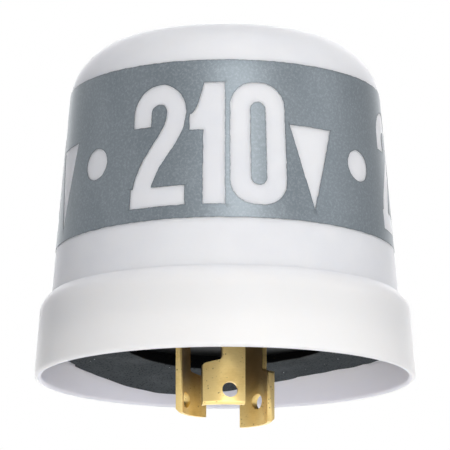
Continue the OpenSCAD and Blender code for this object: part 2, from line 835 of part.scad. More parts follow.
module photocell_leads() {
    foot_y = arrester_lead_at[1].y - lead_pitch;
    color("gainsboro") in_switch() {
        wire([
            [-cell_lead_x, 0, cell_z],
            [-cell_lead_x, 0, heater_z],
            [splice_x, 0, heater_z],
            [splice_x, splice_y + lead_d / 2, heater_z]
        ]);
        wire([
            [cell_lead_x, 0, cell_z],
            [cell_lead_x, 0, foot_lead_z],
            [cell_lead_x, foot_y, foot_lead_z]
        ]);
    }
}

// Places the arrester with its leads side by side along Y
module at_arrester() {
    translate([arrester_at.x, arrester_at.y, 0]) rotate(30) children();
}

module surge_arrester() {
    color("steelblue") in_switch() at_arrester() {
        translate([-arrester_t / 2, 0, arrester_low_z + arrester_d / 2]) rotate([0, 90, 0]) rotate_extrude()
            polygon([
                [0, 0],
                [arrester_d / 2 - arrester_bevel, 0],
                [arrester_d / 2, arrester_bevel],
                [arrester_d / 2, arrester_t - arrester_bevel],
                [arrester_d / 2 - arrester_bevel, arrester_t],
                [0, arrester_t]
            ]);
        translate([-arrester_t / 4, -arrester_pitch / 2 - lead_d, arrester_low_z])
            cube([arrester_t / 2, arrester_pitch + 2 * lead_d, arrester_root_h]);
    }
}

module arrester_leads() {
    to_bracket = arrester_lead_at[0];
    to_foot = arrester_lead_at[1];
    top_z = arrester_low_z - touch_gap / 2;
    beside_rivet_x = post_x + rivet_head_d / 2 + lead_d;
    color("gainsboro") in_switch() {
        wire([
            [to_bracket.x, to_bracket.y, top_z],
            [to_bracket.x, to_bracket.y, bracket_lead_z],
            [beside_rivet_x, to_bracket.y, bracket_lead_z],
            [beside_rivet_x, arm_y, bracket_lead_z]
        ]);
        wire([
            [to_foot.x, to_foot.y, top_z],
            [to_foot.x, to_foot.y, foot_lead_z],
            [0, to_foot.y, foot_lead_z]
        ]);
    }
}

cover();
printed_band();
gasket();
base();
line_blade();
load_blade();
neutral_blade();
blade_rivets();
arm_bracket();
contact_bracket();
hinge_spring();
spring_rivets();
bimetal_arm();
moving_contact();
contact_screw();
fixed_contact();
lock_nut();
heater();
heater_leads();
lead_splice();
cell_support();
photocell();
photocell_leads();
surge_arrester();
arrester_leads();
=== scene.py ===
"""A plug-in photocell switch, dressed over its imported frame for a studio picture.

Each sub-assembly is a class that holds its sizes in millimetres and builds its own
meshes. Each finish is a small frozen class that builds its material from nodes.
"""

from __future__ import annotations

import json
import logging
import math
from abc import ABC, abstractmethod
from contextlib import contextmanager
from dataclasses import dataclass, field
from enum import Enum
from functools import partial, reduce
from typing import Any, Iterator, Sequence

import bmesh
import bpy
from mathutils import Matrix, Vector, noise
from mathutils.geometry import delaunay_2d_cdt
from mathutils.kdtree import KDTree

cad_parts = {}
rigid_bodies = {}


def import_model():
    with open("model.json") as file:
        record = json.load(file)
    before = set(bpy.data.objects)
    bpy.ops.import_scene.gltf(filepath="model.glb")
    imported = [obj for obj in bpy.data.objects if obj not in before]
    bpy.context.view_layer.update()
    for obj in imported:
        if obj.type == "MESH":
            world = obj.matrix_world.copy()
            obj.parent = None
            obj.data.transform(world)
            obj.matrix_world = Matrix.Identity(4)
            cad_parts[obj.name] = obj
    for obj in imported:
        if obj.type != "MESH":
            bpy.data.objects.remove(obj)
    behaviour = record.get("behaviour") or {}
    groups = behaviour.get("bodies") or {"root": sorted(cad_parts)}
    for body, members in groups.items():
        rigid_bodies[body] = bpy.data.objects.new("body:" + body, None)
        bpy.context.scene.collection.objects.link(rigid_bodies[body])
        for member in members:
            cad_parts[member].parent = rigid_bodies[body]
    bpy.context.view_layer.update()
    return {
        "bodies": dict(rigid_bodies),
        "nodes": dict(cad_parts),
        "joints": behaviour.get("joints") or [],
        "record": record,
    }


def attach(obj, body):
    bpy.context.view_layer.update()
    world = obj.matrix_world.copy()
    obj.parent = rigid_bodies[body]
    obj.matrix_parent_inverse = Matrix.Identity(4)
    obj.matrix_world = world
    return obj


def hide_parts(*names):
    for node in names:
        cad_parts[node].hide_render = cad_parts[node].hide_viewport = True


LOG = logging.getLogger("photocell_switch")
MM = 0.001

# Distances in metres: points that become one, points that stay apart, edges of no length
JOIN = 1e-6
NO_JOIN = 1e-9
NO_SIZE = 1e-7

CORNER_STEPS = 10
NOISE_SEED = 7
BLADE_OUTER_R = 10.75
BLADE_SHEET = 1.55

Node = bpy.types.Node
Socket = bpy.types.NodeSocket
Piece = bpy.types.Object
Colour = tuple[float, float, float, float]
Triple = tuple[float, float, float]
Point = tuple[float, float]
Loop = list[Point]


class Body(Enum):
    """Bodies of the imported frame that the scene's own pieces ride on."""

    HOUSING = "housing"


class Sign(Enum):
    """Shapes left open in the printed band."""

    TWO = "two"
    ONE = "one"
    ZERO = "zero"
    ARROW = "arrow"
    DOT = "dot"


def srgb(red: int, green: int, blue: int) -> Colour:
    """Turn a screen colour into the linear colour that shaders take.

    Args:
        red: Red from 0 to 255.
        green: Green from 0 to 255.
        blue: Blue from 0 to 255.

    Returns:
        The linear colour with full alpha.
    """

    def linear(value: int) -> float:
        """Linear share of one channel."""
        share = value / 255
        return share / 12.92 if share <= 0.04045 else ((share + 0.055) / 1.055) ** 2.4

    return linear(red), linear(green), linear(blue), 1.0


@dataclass(frozen=True)
class Cloud:
    """Soft noise: waves in a millimetre, finer octaves, their strength and a share for each axis."""

    scale: float
    detail: float = 2.0
    rough: float = 0.5
    stretch: Triple = (1.0, 1.0, 1.0)


@dataclass(frozen=True)
class Step:
    """Soft step that rises from low to high, or falls if high is the lower, and its full height."""

    low: float
    high: float
    share: float = 1.0


@dataclass(frozen=True)
class Relief:
    """Fine relief: how much of it shows, and its depth in millimetres."""

    strength: float
    depth: float


class Graph:
    """A node tree under construction."""

    def __init__(self, tree: bpy.types.NodeTree) -> None:
        """Keep the tree that nodes go into."""
        self.tree = tree

    def fill(self, node: Node, inputs: dict[str | int, Any]) -> None:
        """Give a node's inputs their values.

        Args:
            node: Node of the tree.
            inputs: Values, or sockets to link, by the input's name or place.
        """
        for key, value in inputs.items():
            if isinstance(value, Socket):
                self.tree.links.new(value, node.inputs[key])
            else:
                node.inputs[key].default_value = value

    def add(self, kind: str, inputs: dict[str | int, Any] | None = None, **settings: Any) -> Node:
        """Add a node, with its settings first and its inputs after them.

        Args:
            kind: Blender's name for the node.
            inputs: Values or sockets for the node's inputs, by name or place.
            **settings: Properties of the node.

        Returns:
            The new node.
        """
        node = self.tree.nodes.new(kind)
        for key, value in settings.items():
            setattr(node, key, value)
        self.fill(node, inputs or {})
        return node

    def maths(self, operation: str, first: Any, second: Any = 0.0) -> Socket:
        """Result of one sum on two numbers or sockets."""
        return self.add("ShaderNodeMath", {0: first, 1: second}, operation=operation).outputs[0]

    def times(self, *values: Any) -> Socket:
        """Product of several numbers or sockets."""
        return reduce(partial(self.maths, "MULTIPLY"), values)

    def total(self, *values: Any) -> Socket:
        """Sum of several numbers or sockets."""
        return reduce(partial(self.maths, "ADD"), values)

    def blend(self, share: Any, first: Any, second: Any) -> Socket:
        """Mix of two colours by a share."""
        return self.add("ShaderNodeMix", {0: share, 6: first, 7: second}, data_type="RGBA").outputs[2]

    def between(self, value: Socket, low: float, high: float) -> Socket:
        """Value's run from 0 to 1 turned into a run from low to high."""
        return self.add("ShaderNodeMapRange", {"Value": value, "To Min": low, "To Max": high}).outputs[0]


class Shade(Graph):
    """A material's nodes, with patterns measured in millimetres on the piece itself."""

    def __init__(self, tree: bpy.types.NodeTree) -> None:
        """Start with the piece's own coordinates."""
        super().__init__(tree)
        self.place = self.add("ShaderNodeTexCoord").outputs["Object"]

    def spread(self, stretch: Triple = (1.0, 1.0, 1.0)) -> Socket:
        """Coordinates in millimetres, with each axis times its stretch."""
        scale = [each / MM for each in stretch]
        return self.add("ShaderNodeMapping", {"Vector": self.place, "Scale": scale}).outputs[0]

    def noted(self, name: str) -> Socket:
        """Number that the mesh holds on each of its points."""
        return self.add("ShaderNodeAttribute", attribute_name=name).outputs["Fac"]

    def cloud(self, look: Cloud) -> Socket:
        """Soft noise, from 0 to 1 with most of it near the middle."""
        inputs = {"Scale": look.scale, "Detail": look.detail, "Roughness": look.rough}
        return self.add("ShaderNodeTexNoise", inputs | {"Vector": self.spread(look.stretch)}).outputs[0]

    def cells(self, scale: float) -> Socket:
        """Distance inside random cells, with scale cells in a millimetre."""
        inputs = {"Vector": self.spread(), "Scale": scale}
        return self.add("ShaderNodeTexVoronoi", inputs).outputs["Distance"]

    def step(self, value: Socket, look: Step) -> Socket:
        """Pattern turned into a soft step."""
        inputs = {"Value": value, "From Min": look.low, "From Max": look.high, "To Max": look.share}
        return self.add("ShaderNodeMapRange", inputs, interpolation_type="SMOOTHSTEP").outputs[0]

    def bump(self, height: Socket, look: Relief, under: Socket | None = None) -> Socket:
        """Add fine relief.

        Args:
            height: Height pattern.
            look: How much of it shows, and its depth.
            under: Normal of coarser relief below it.

        Returns:
            The changed normal.
        """
        inputs = {"Height": height, "Strength": look.strength, "Distance": look.depth * MM}
        if under is not None:
            inputs["Normal"] = under
        return self.add("ShaderNodeBump", inputs).outputs[0]


@dataclass(frozen=True)
class Finish(ABC):
    """Base of all finishes: a colour, a gloss and the record's slot that it stands for."""

    slot: str
    colour: Colour
    roughness: float
    gloss_range: Point = (-0.1, 0.1)

    def material(self) -> bpy.types.Material:
        """Build the material, or give the one already built.

        Returns:
            The material.
        """
        name = f"{self.slot}_finish"
        made = bpy.data.materials.get(name)
        if made is not None:
            return made
        made = bpy.data.materials.new(name)
        made.use_nodes = True
        made.node_tree.nodes.clear()
        made.diffuse_color = self.colour
        shade = Shade(made.node_tree)
        inputs = {"Base Color": self.colour, "Roughness": self.roughness}
        shader = shade.add("ShaderNodeBsdfPrincipled", inputs)
        shade.add("ShaderNodeOutputMaterial", {"Surface": shader.outputs[0]})
        self.dress(shade, shader)
        return made

    def gloss(self, shade: Shade, pattern: Socket) -> Socket:
        """Roughness that a pattern moves within the finish's range."""
        low, high = (self.roughness + change for change in self.gloss_range)
        return shade.between(pattern, low, high)

    @abstractmethod
    def dress(self, shade: Shade, shader: Node) -> None:
        """Add the finish's own detail to its shader."""


@dataclass(frozen=True)
class MouldedPlastic(Finish):
    """Moulded plastic with a cloudy tint, a faint orange peel and light under its skin."""

    gloss_range: Point = (-0.06, 0.08)
    tint: Colour = (0.5, 0.5, 0.5, 1.0)
    glow: float = 0.0
    depth: float = 1.2
    bleed: Triple = (1.0, 0.95, 0.9)
    shine: float = 0.5
    # Warmer, brighter colour of the skirt's outer face: painted light.
    skirt: Colour | None = None
    # Cool lavender colour of the skirt's inner face: painted shade.
    painted_lining_shade: Colour | None = None
    drift: Cloud = Cloud(0.045, 3.0, 0.55)
    drift_step: Step = Step(0.36, 0.7, 0.6)
    fine: Cloud = Cloud(1.4, 3.0, 0.6)
    fine_share: float = 0.16
    peel: float = 0.12
    peel_depth: float = 0.04
    wave: Cloud = Cloud(0.22, 1.0)
    wave_relief: Relief = Relief(0.12, 0.1)
    patches: Cloud = Cloud(0.16, 4.0, 0.6)

    def dress(self, shade: Shade, shader: Node) -> None:
        """Add the cloudy tint, the painted warm light on the skirt's outer face, the painted cool shade on
        its inner face, the skin and the gloss that varies a little.

        Args:
            shade: Nodes of the material.
            shader: Its shader.
        """
        fine = shade.cloud(self.fine)
        drift = shade.step(shade.cloud(self.drift), self.drift_step)
        share = shade.total(drift, shade.times(fine, self.fine_share))
        tone = shade.blend(share, self.colour, self.tint)
        # The skirt's outer face takes a warmer, brighter colour (painted light) and its inner face a cool
        # lavender colour (painted shade).
        for name, colour in (("skirt_outer", self.skirt), ("skirt_lining", self.painted_lining_shade)):
            if colour is not None:
                tone = shade.blend(shade.noted(name), tone, colour)
        wave = shade.bump(shade.cloud(self.wave), self.wave_relief)
        inputs = {
            "Base Color": tone,
            "Roughness": self.gloss(shade, shade.cloud(self.patches)),
            "Normal": shade.bump(fine, Relief(self.peel, self.peel_depth), wave),
            "Specular IOR Level": self.shine,
        }
        if self.glow:
            inputs["Subsurface Weight"] = self.glow
            inputs["Subsurface Radius"] = self.bleed
            inputs["Subsurface Scale"] = self.depth * MM
        shade.fill(shader, inputs)


@dataclass(frozen=True)
class PrintedInk(Finish):
    """Rolled-on ink: a fine grain, thin spots and a darker line where it ends."""

    gloss_range: Point = (-0.1, 0.14)
    thin: Colour = (0.5, 0.5, 0.5, 1.0)
    line: Colour = (0.1, 0.1, 0.1, 1.0)
    line_share: float = 0.6
    shine: float = 0.7
    flakes: float = 0.0
    grain: Cloud = Cloud(1.9, 3.0, 0.7)
    grain_step: Step = Step(0.42, 0.72, 0.4)
    grain_relief: Relief = Relief(0.14, 0.04)
    patch: Cloud = Cloud(0.07, 3.0, 0.5, (1.0, 1.0, 0.6))
    patch_step: Step = Step(0.4, 0.7, 0.16)
    spots: float = 1.1
    spot_step: Step = Step(0.16, 0.05, 0.22)

    def dress(self, shade: Shade, shader: Node) -> None:
        """Add the grain, the thin spots, the dark edge and the share of metal flakes.

        Args:
            shade: Nodes of the material.
            shader: Its shader.
        """
        grain = shade.cloud(self.grain)
        share = shade.total(
            shade.step(grain, self.grain_step),
            shade.step(shade.cloud(self.patch), self.patch_step),
            shade.step(shade.cells(self.spots), self.spot_step),
        )
        tone = shade.blend(share, self.colour, self.thin)
        edge = shade.times(shade.noted("ink_edge"), self.line_share)
        inputs = {
            "Base Color": shade.blend(edge, tone, self.line),
            "Roughness": self.gloss(shade, grain),
            "Normal": shade.bump(grain, self.grain_relief),
            "Metallic": self.flakes,
            "Specular IOR Level": self.shine,
        }
        shade.fill(shader, inputs)


@dataclass(frozen=True)
class FoamRubber(Finish):
    """Closed-cell foam: small dark pores, paler crumbs and no gloss."""

    pore: Colour = (0.01, 0.01, 0.01, 1.0)
    crumb: Colour = (0.3, 0.3, 0.3, 1.0)
    # Near-black painted shade on the wall of the ring's hole.
    painted_hole_shade: Colour = (0.01, 0.01, 0.01, 1.0)
    pores: float = 1.7
    pore_step: Step = Step(0.42, 0.1)
    pore_relief: Relief = Relief(0.5, 0.25)
    grain: Cloud = Cloud(2.6, 4.0, 0.7)
    grain_step: Step = Step(0.58, 0.74, 0.6)
    grain_relief: Relief = Relief(0.35, 0.15)
    patch: Cloud = Cloud(0.12, 3.0, 0.6)
    patch_step: Step = Step(0.45, 0.72, 0.2)

    def dress(self, shade: Shade, shader: Node) -> None:
        """Add the pores, the crumbs, their relief and the painted shade on the wall of the hole.

        Args:
            shade: Nodes of the material.
            shader: Its shader.
        """
        pores = shade.cells(self.pores)
        grain = shade.cloud(self.grain)
        tone = shade.blend(shade.step(pores, self.pore_step), self.colour, self.pore)
        tone = shade.blend(shade.step(grain, self.grain_step), tone, self.crumb)
        tone = shade.blend(shade.step(shade.cloud(self.patch), self.patch_step), tone, self.crumb)
        relief = shade.bump(pores, self.pore_relief)
        inputs = {
            # The wall of the hole takes its painted shade.
            "Base Color": shade.blend(shade.noted("cut_wall"), tone, self.painted_hole_shade),
            "Normal": shade.bump(grain, self.grain_relief, relief),
            "Specular IOR Level": 0.0,
        }
        shade.fill(shader, inputs)


@dataclass(frozen=True)
class SheetMetal(Finish):
    """Rolled metal with drawn lines, dull patches and small pits."""

    gloss_range: Point = (0.0, 0.18)
    dull: Colour = (0.3, 0.2, 0.1, 1.0)
    pit: Colour = (0.08, 0.05, 0.02, 1.0)
    patches: float = 0.4
    pits: float = 0.4
    drawn: Cloud = Cloud(1.6, 4.0, 0.6, (0.5, 0.5, 6.0))
    drawn_step: Step = Step(0.4, 0.75, 0.2)
    drawn_relief: Relief = Relief(0.16, 0.02)
    patch: Cloud = Cloud(0.22, 5.0, 0.62)
    patch_step: Step = Step(0.44, 0.7)
    gloss_step: Step = Step(0.35, 0.72)
    pit_cells: float = 1.2
    pit_step: Step = Step(0.3, 0.1)
    pit_relief: Relief = Relief(0.12, 0.03)
    pick: Cloud = Cloud(0.5)
    pick_step: Step = Step(0.47, 0.6)

    def dress(self, shade: Shade, shader: Node) -> None:
        """Add the drawn lines, the dull patches and the pits.

        Args:
            shade: Nodes of the material.
            shader: Its shader.
        """
        drawn = shade.cloud(self.drawn)
        patch = shade.cloud(self.patch)
        pits = shade.step(shade.cells(self.pit_cells), self.pit_step)
        picked = shade.step(shade.cloud(self.pick), self.pick_step)
        dull = shade.times(shade.step(patch, self.patch_step), self.patches)
        share = shade.total(dull, shade.step(drawn, self.drawn_step))
        tone = shade.blend(share, self.colour, self.dull)
        relief = shade.bump(drawn, self.drawn_relief)
        inputs = {
            "Base Color": shade.blend(shade.times(pits, picked, self.pits), tone, self.pit),
            "Metallic": 1.0,
            "Roughness": self.gloss(shade, shade.step(patch, self.gloss_step)),
            "Normal": shade.bump(pits, self.pit_relief, relief),
        }
        shade.fill(shader, inputs)


@dataclass(frozen=True)
class BladeMetal(SheetMetal):
    """Sheet of the blades, with a dull brown painted shade on the faces that look inwards, most of all near
    the base.
    """

    # Dull brown painted shade on the inward faces, strongest near the base.
    painted_inner_shade: Colour = (0.05, 0.03, 0.01, 1.0)
    inner_shade_low: float = -10.5
    inner_shade_high: float = -3.5
    inner_shade_share: float = 0.85
    inner_r: float = BLADE_OUTER_R - BLADE_SHEET
    inner_near: float = 0.1
    inner_far: float = 0.35

    def dress(self, shade: Shade, shader: Node) -> None:
        """Add the sheet's own detail and the painted shade on the inner faces.

        Args:
            shade: Nodes of the material.
            shader: Its shader.
        """
        super().dress(shade, shader)
        tone = shader.inputs["Base Color"].links[0].from_socket
        place = shade.add("ShaderNodeSeparateXYZ", {0: shade.spread()}).outputs
        squares = [shade.times(place[axis], place[axis]) for axis in ("X", "Y")]
        radius = shade.maths("SQRT", shade.total(*squares))
        # Inward faces near the base take the painted shade.
        inside = shade.step(radius, Step(self.inner_r + self.inner_far, self.inner_r + self.inner_near))
        near = shade.step(place["Z"], Step(self.inner_shade_low, self.inner_shade_high, self.inner_shade_share))
        shade.fill(shader, {"Base Color": shade.blend(shade.times(inside, near), tone, self.painted_inner_shade)})


@dataclass(frozen=True)
class FiredCeramic(Finish):
    """Fired or dipped body with a mottled colour and fine specks."""

    speck: Colour = (0.2, 0.16, 0.1, 1.0)
    track: Colour | None = None
    gap: float = 0.9
    waver: float = 0.4
    track_step: Step = Step(0.45, 0.55)
    mottle: Cloud = Cloud(0.5, 4.0, 0.6)
    mottle_step: Step = Step(0.4, 0.7, 0.35)
    mottle_relief: Relief = Relief(0.2, 0.05)
    specks: float = 1.3
    speck_step: Step = Step(0.18, 0.06, 0.5)

    def dress(self, shade: Shade, shader: Node) -> None:
        """Add mottling and specks, and the winding track of a light cell where it has one.

        Args:
            shade: Nodes of the material.
            shader: Its shader.
        """
        mottle = shade.cloud(self.mottle)
        tone = shade.blend(shade.step(mottle, self.mottle_step), self.colour, self.speck)
        tone = shade.blend(shade.step(shade.cells(self.specks), self.speck_step), tone, self.speck)
        if self.track is not None:
            inputs = {"Vector": shade.spread((1, 1, 0)), "Scale": 1 / self.gap, "Distortion": self.waver}
            wave = shade.add("ShaderNodeTexWave", inputs).outputs["Fac"]
            tone = shade.blend(shade.step(wave, self.track_step), tone, self.track)
        inputs = {
            "Base Color": tone,
            "Roughness": self.gloss(shade, mottle),
            "Normal": shade.bump(mottle, self.mottle_relief),
        }
        shade.fill(shader, inputs)


COVER_PLASTIC = MouldedPlastic(
    "cover_plastic", srgb(240, 240, 241), 0.4, tint=srgb(228, 229, 233), glow=0.85, depth=3.0, shine=0.15,
    # Painted light: the warmer, brighter skirt colour. Painted shade: the cool lavender colour of its inner
    # face.
    skirt=srgb(248, 244, 240), painted_lining_shade=srgb(233, 232, 242),
)
BAND_INK = PrintedInk(
    "band_ink", srgb(110, 118, 124), 0.41, thin=srgb(150, 157, 162), line=srgb(76, 82, 86), shine=0.05,
    flakes=0.78,
)
FOAM = FoamRubber(
    # The last colour is painted shade on the wall of the hole.
    "foam", srgb(72, 76, 78), 0.95, pore=srgb(42, 44, 46), crumb=srgb(116, 119, 121), painted_hole_shade=srgb(13, 14, 15)
)
CRUMB = FoamRubber(
    "foam_crumb", srgb(196, 198, 200), 0.9, pore=srgb(150, 152, 154), crumb=srgb(226, 227, 228)
)
BASE_PLASTIC = MouldedPlastic(
    "base_plastic", srgb(13, 14, 14), 0.3, tint=srgb(24, 25, 25), peel=0.06, shine=0.12
)
BLADE_BRASS = BladeMetal(
    "blade_brass", srgb(248, 220, 149), 0.36, dull=srgb(206, 171, 102), pit=srgb(100, 68, 34),
    # The brown colour here is painted shade on the blades' inner faces.
    patches=0.35, pits=0.7, painted_inner_shade=srgb(116, 92, 62),
)
RIVET_BRASS = SheetMetal("rivet_brass", srgb(204, 178, 116), 0.3, dull=srgb(160, 130, 80))
BRACKET_BRASS = SheetMetal("bracket_brass", srgb(212, 188, 132), 0.32, dull=srgb(176, 146, 94), patches=0.3)
SPRING_BRONZE = SheetMetal("spring_bronze", srgb(196, 148, 108), 0.28, dull=srgb(148, 100, 66), patches=0.3)
BIMETAL = SheetMetal("bimetal", srgb(186, 185, 180), 0.34, dull=srgb(142, 138, 128), pit=srgb(70, 64, 56))
CONTACT_SILVER = SheetMetal("contact_silver", srgb(226, 225, 221), 0.22, dull=srgb(178, 176, 168), pits=0.2)
TINNED_WIRE = SheetMetal("tinned_wire", srgb(206, 206, 204), 0.26, dull=srgb(160, 160, 158), pits=0.2)
HEATER_CERAMIC = FiredCeramic("heater_ceramic", srgb(204, 190, 162), 0.6, speck=srgb(150, 132, 104))
SUPPORT_PLASTIC = MouldedPlastic("support_plastic", srgb(222, 212, 186), 0.45, tint=srgb(206, 194, 164))
CELL_FACE = FiredCeramic(
    "cell_face", srgb(206, 142, 112), 0.35, speck=srgb(166, 100, 76), track=srgb(226, 204, 176)
)
ARRESTER_COAT = FiredCeramic("arrester_coat", srgb(40, 78, 128), 0.3, speck=srgb(24, 52, 94))


class GeometryTree(Graph):
    """A Geometry Nodes tree with named inputs, run once on an object and turned into its mesh."""

    def __init__(self, name: str) -> None:
        """Start a tree that takes and gives geometry, with a material among its inputs.

        Args:
            name: Name of the tree.
        """
        super().__init__(bpy.data.node_groups.new(name, "GeometryNodeTree"))
        face = self.tree.interface
        face.new_socket("Geometry", in_out="INPUT", socket_type="NodeSocketGeometry")
        face.new_socket("Geometry", in_out="OUTPUT", socket_type="NodeSocketGeometry")
        face.new_socket("Material", in_out="INPUT", socket_type="NodeSocketMaterial")
        self.start = self.add("NodeGroupInput")
        self.end = self.add("NodeGroupOutput")

    def size(self, name: str, kind: str) -> Socket:
        """Add a named input of the kind Float or Int."""
        self.tree.interface.new_socket(name, in_out="INPUT", socket_type=f"NodeSocket{kind}")
        return self.start.outputs[name]

    def close(self, geometry: Socket, join: float) -> None:
        """Realize the copies, join their points and set the material.

        Args:
            geometry: Geometry that the tree has made.
            join: Distance in metres under which points become one.
        """
        real = self.add("GeometryNodeRealizeInstances", {"Geometry": geometry}).outputs[0]
        joined = self.add("GeometryNodeMergeByDistance", {"Geometry": real, "Distance": join}).outputs[0]
        smooth = self.add("GeometryNodeSetShadeSmooth", {"Geometry": joined}).outputs[0]
        dressed = self.add(
            "GeometryNodeSetMaterial", {"Geometry": smooth, "Material": self.start.outputs["Material"]}
        )
        self.tree.links.new(dressed.outputs[0], self.end.inputs[0])

    def run(self, piece: Piece, finish: Finish, **sizes: float) -> Piece:
        """Run the tree on a piece and keep the result as the piece's plain mesh.

        Args:
            piece: Object whose mesh goes into the tree.
            finish: Finish of the result.
            **sizes: Values for the named inputs.

        Returns:
            The same object with its new mesh.
        """
        values: dict[str, Any] = {**sizes, "Material": finish.material()}
        modifier = piece.modifiers.new(self.tree.name, "NODES")
        modifier.node_group = self.tree
        for item in self.tree.interface.items_tree:
            if item.item_type == "SOCKET" and item.in_out == "INPUT" and item.name in values:
                modifier[item.identifier] = values[item.name]
        return settle(piece)


def turning_tree() -> GeometryTree:
    """Make a tree that turns a profile line, drawn in the XZ plane, round the Z axis.

    Returns:
        The tree, with the number of steps as its input.
    """
    tree = GeometryTree("turned profile")
    steps = tree.size("Steps", "Int")
    profile = tree.start.outputs["Geometry"]
    size = tree.add("GeometryNodeAttributeDomainSize", {0: profile}, component="MESH").outputs
    columns = tree.maths("ADD", steps, 1.0)
    inputs = {"Vertices X": size["Point Count"], "Vertices Y": columns}
    grid = tree.add("GeometryNodeMeshGrid", inputs).outputs["Mesh"]
    index = tree.add("GeometryNodeInputIndex").outputs[0]
    row = tree.maths("FLOOR", tree.maths("DIVIDE", tree.maths("ADD", index, 0.5), columns))
    column = tree.maths("SUBTRACT", index, tree.maths("MULTIPLY", row, columns))
    angle = tree.maths("MULTIPLY", tree.maths("DIVIDE", column, steps), math.tau)
    where = tree.add("GeometryNodeInputPosition").outputs[0]
    inputs = {"Geometry": profile, "Value": where, "Index": row}
    sample = tree.add("GeometryNodeSampleIndex", inputs, data_type="FLOAT_VECTOR", domain="POINT")
    inputs = {"Vector": sample.outputs[0], "Angle": angle}
    turn = tree.add("ShaderNodeVectorRotate", inputs, rotation_type="Z_AXIS")
    placed = tree.add("GeometryNodeSetPosition", {"Geometry": grid, "Position": turn.outputs[0]})
    tree.close(placed.outputs[0], JOIN)
    return tree


def ring_tree() -> GeometryTree:
    """Make a tree that sets copies of a mesh round the Z axis.

    Returns:
        The tree, with the number of copies, the start angle and the pitch as its inputs.
    """
    tree = GeometryTree("ring of copies")
    copies = tree.size("Copies", "Int")
    start = tree.size("Start", "Float")
    pitch = tree.size("Pitch", "Float")
    points = tree.add("GeometryNodePoints", {"Count": copies}).outputs[0]
    index = tree.add("GeometryNodeInputIndex").outputs[0]
    angle = tree.maths("ADD", start, tree.maths("MULTIPLY", index, pitch))
    euler = tree.add("ShaderNodeCombineXYZ", {"Z": angle}).outputs[0]
    turn = tree.add("FunctionNodeEulerToRotation", {0: euler}).outputs[0]
    inputs = {"Points": points, "Instance": tree.start.outputs["Geometry"], "Rotation": turn}
    tree.close(tree.add("GeometryNodeInstanceOnPoints", inputs).outputs[0], JOIN)
    return tree


def crumb_tree() -> GeometryTree:
    """Make a tree that scatters flat crumbs on the faces that look down.

    Returns:
        The tree, with density, sizes, flatness, lean and seed as its inputs.
    """
    tree = GeometryTree("scattered crumbs")
    density, small, large, flatness, lean = (
        tree.size(name, "Float") for name in ("Density", "Smallest", "Largest", "Flatness", "Lean")
    )
    seed = tree.size("Seed", "Int")
    normal = tree.add("GeometryNodeInputNormal").outputs[0]
    upright = tree.add("ShaderNodeSeparateXYZ", {0: normal}).outputs["Z"]
    down = tree.maths("LESS_THAN", upright, lean)
    whole = tree.start.outputs["Geometry"]
    inputs = {"Mesh": whole, "Selection": down, "Density": density, "Seed": seed}
    points = tree.add("GeometryNodeDistributePointsOnFaces", inputs).outputs["Points"]
    ball = tree.add("GeometryNodeMeshIcoSphere", {"Radius": 1.0, "Subdivisions": 2}).outputs["Mesh"]
    inputs = {2: small, 3: large, "Seed": seed}
    size = tree.add("FunctionNodeRandomValue", inputs, data_type="FLOAT").outputs[1]
    flat = tree.maths("MULTIPLY", size, flatness)
    scale = tree.add("ShaderNodeCombineXYZ", {"X": size, "Y": size, "Z": flat}).outputs[0]
    inputs = {"Points": points, "Instance": ball, "Scale": scale}
    tree.close(tree.add("GeometryNodeInstanceOnPoints", inputs).outputs[0], NO_JOIN)
    return tree


def new_object(name: str, data: bpy.types.ID) -> Piece:
    """Make an object at the origin and put it in the scene.

    Args:
        name: Its name.
        data: Its mesh, lamp or camera.

    Returns:
        The new object.
    """
    made = bpy.data.objects.new(name, data)
    bpy.context.scene.collection.objects.link(made)
    return made


def new_piece(
    name: str, points: Sequence[Triple], edges: Sequence[tuple[int, int]], faces: Sequence[tuple[int, ...]]
) -> Piece:
    """Make an object at the origin from points in millimetres.

    Args:
        name: Name of the piece.
        points: Its points.
        edges: Pairs of points, for a bare line.
        faces: Rings of points.

    Returns:
        The new object.
    """
    mesh = bpy.data.meshes.new(name)
    mesh.from_pydata([Vector(point) * MM for point in points], edges, faces)
    mesh.update()
    return new_object(name, mesh)


@contextmanager
def editing(mesh: bpy.types.Mesh) -> Iterator[bmesh.types.BMesh]:
    """Open a mesh for editing, and write it back after that.

    Args:
        mesh: The mesh.

    Yields:
        Its form while it is open.
    """
    form = bmesh.new()
    form.from_mesh(mesh)
    yield form
    form.to_mesh(mesh)
    form.free()


def skin(rings: int, count: int, closed: bool = False) -> list[tuple[int, ...]]:
    """Join rings of points, each to the next.

    Args:
        rings: Number of rings.
        count: Points in each.
        closed: Whether the last ring joins the first. If not, both ends get a face.

    Returns:
        The faces.
    """
    faces: list[tuple[int, ...]] = []
    for ring in range(rings if closed else rings - 1):
        after = ((ring + 1) % rings - ring) * count
        for k in range(count):
            a, b = ring * count + k, ring * count + (k + 1) % count
            faces.append((a, b, b + after, a + after))
    if not closed:
        faces += [tuple(range(count)), tuple(range((rings - 1) * count, rings * count))]
    return faces


def settle(piece: Piece) -> Piece:
    """Turn a piece's modifiers into its plain mesh.

    Args:
        piece: Piece with modifiers.

    Returns:
        The same piece.
    """
    graph = bpy.context.evaluated_depsgraph_get()
    graph.update()
    mesh = bpy.data.meshes.new_from_object(
        piece.evaluated_get(graph), preserve_all_data_layers=True, depsgraph=graph
    )
    piece.modifiers.clear()
    old, piece.data = piece.data, mesh
    mesh.name = piece.name
    bpy.data.meshes.remove(old)
    return piece


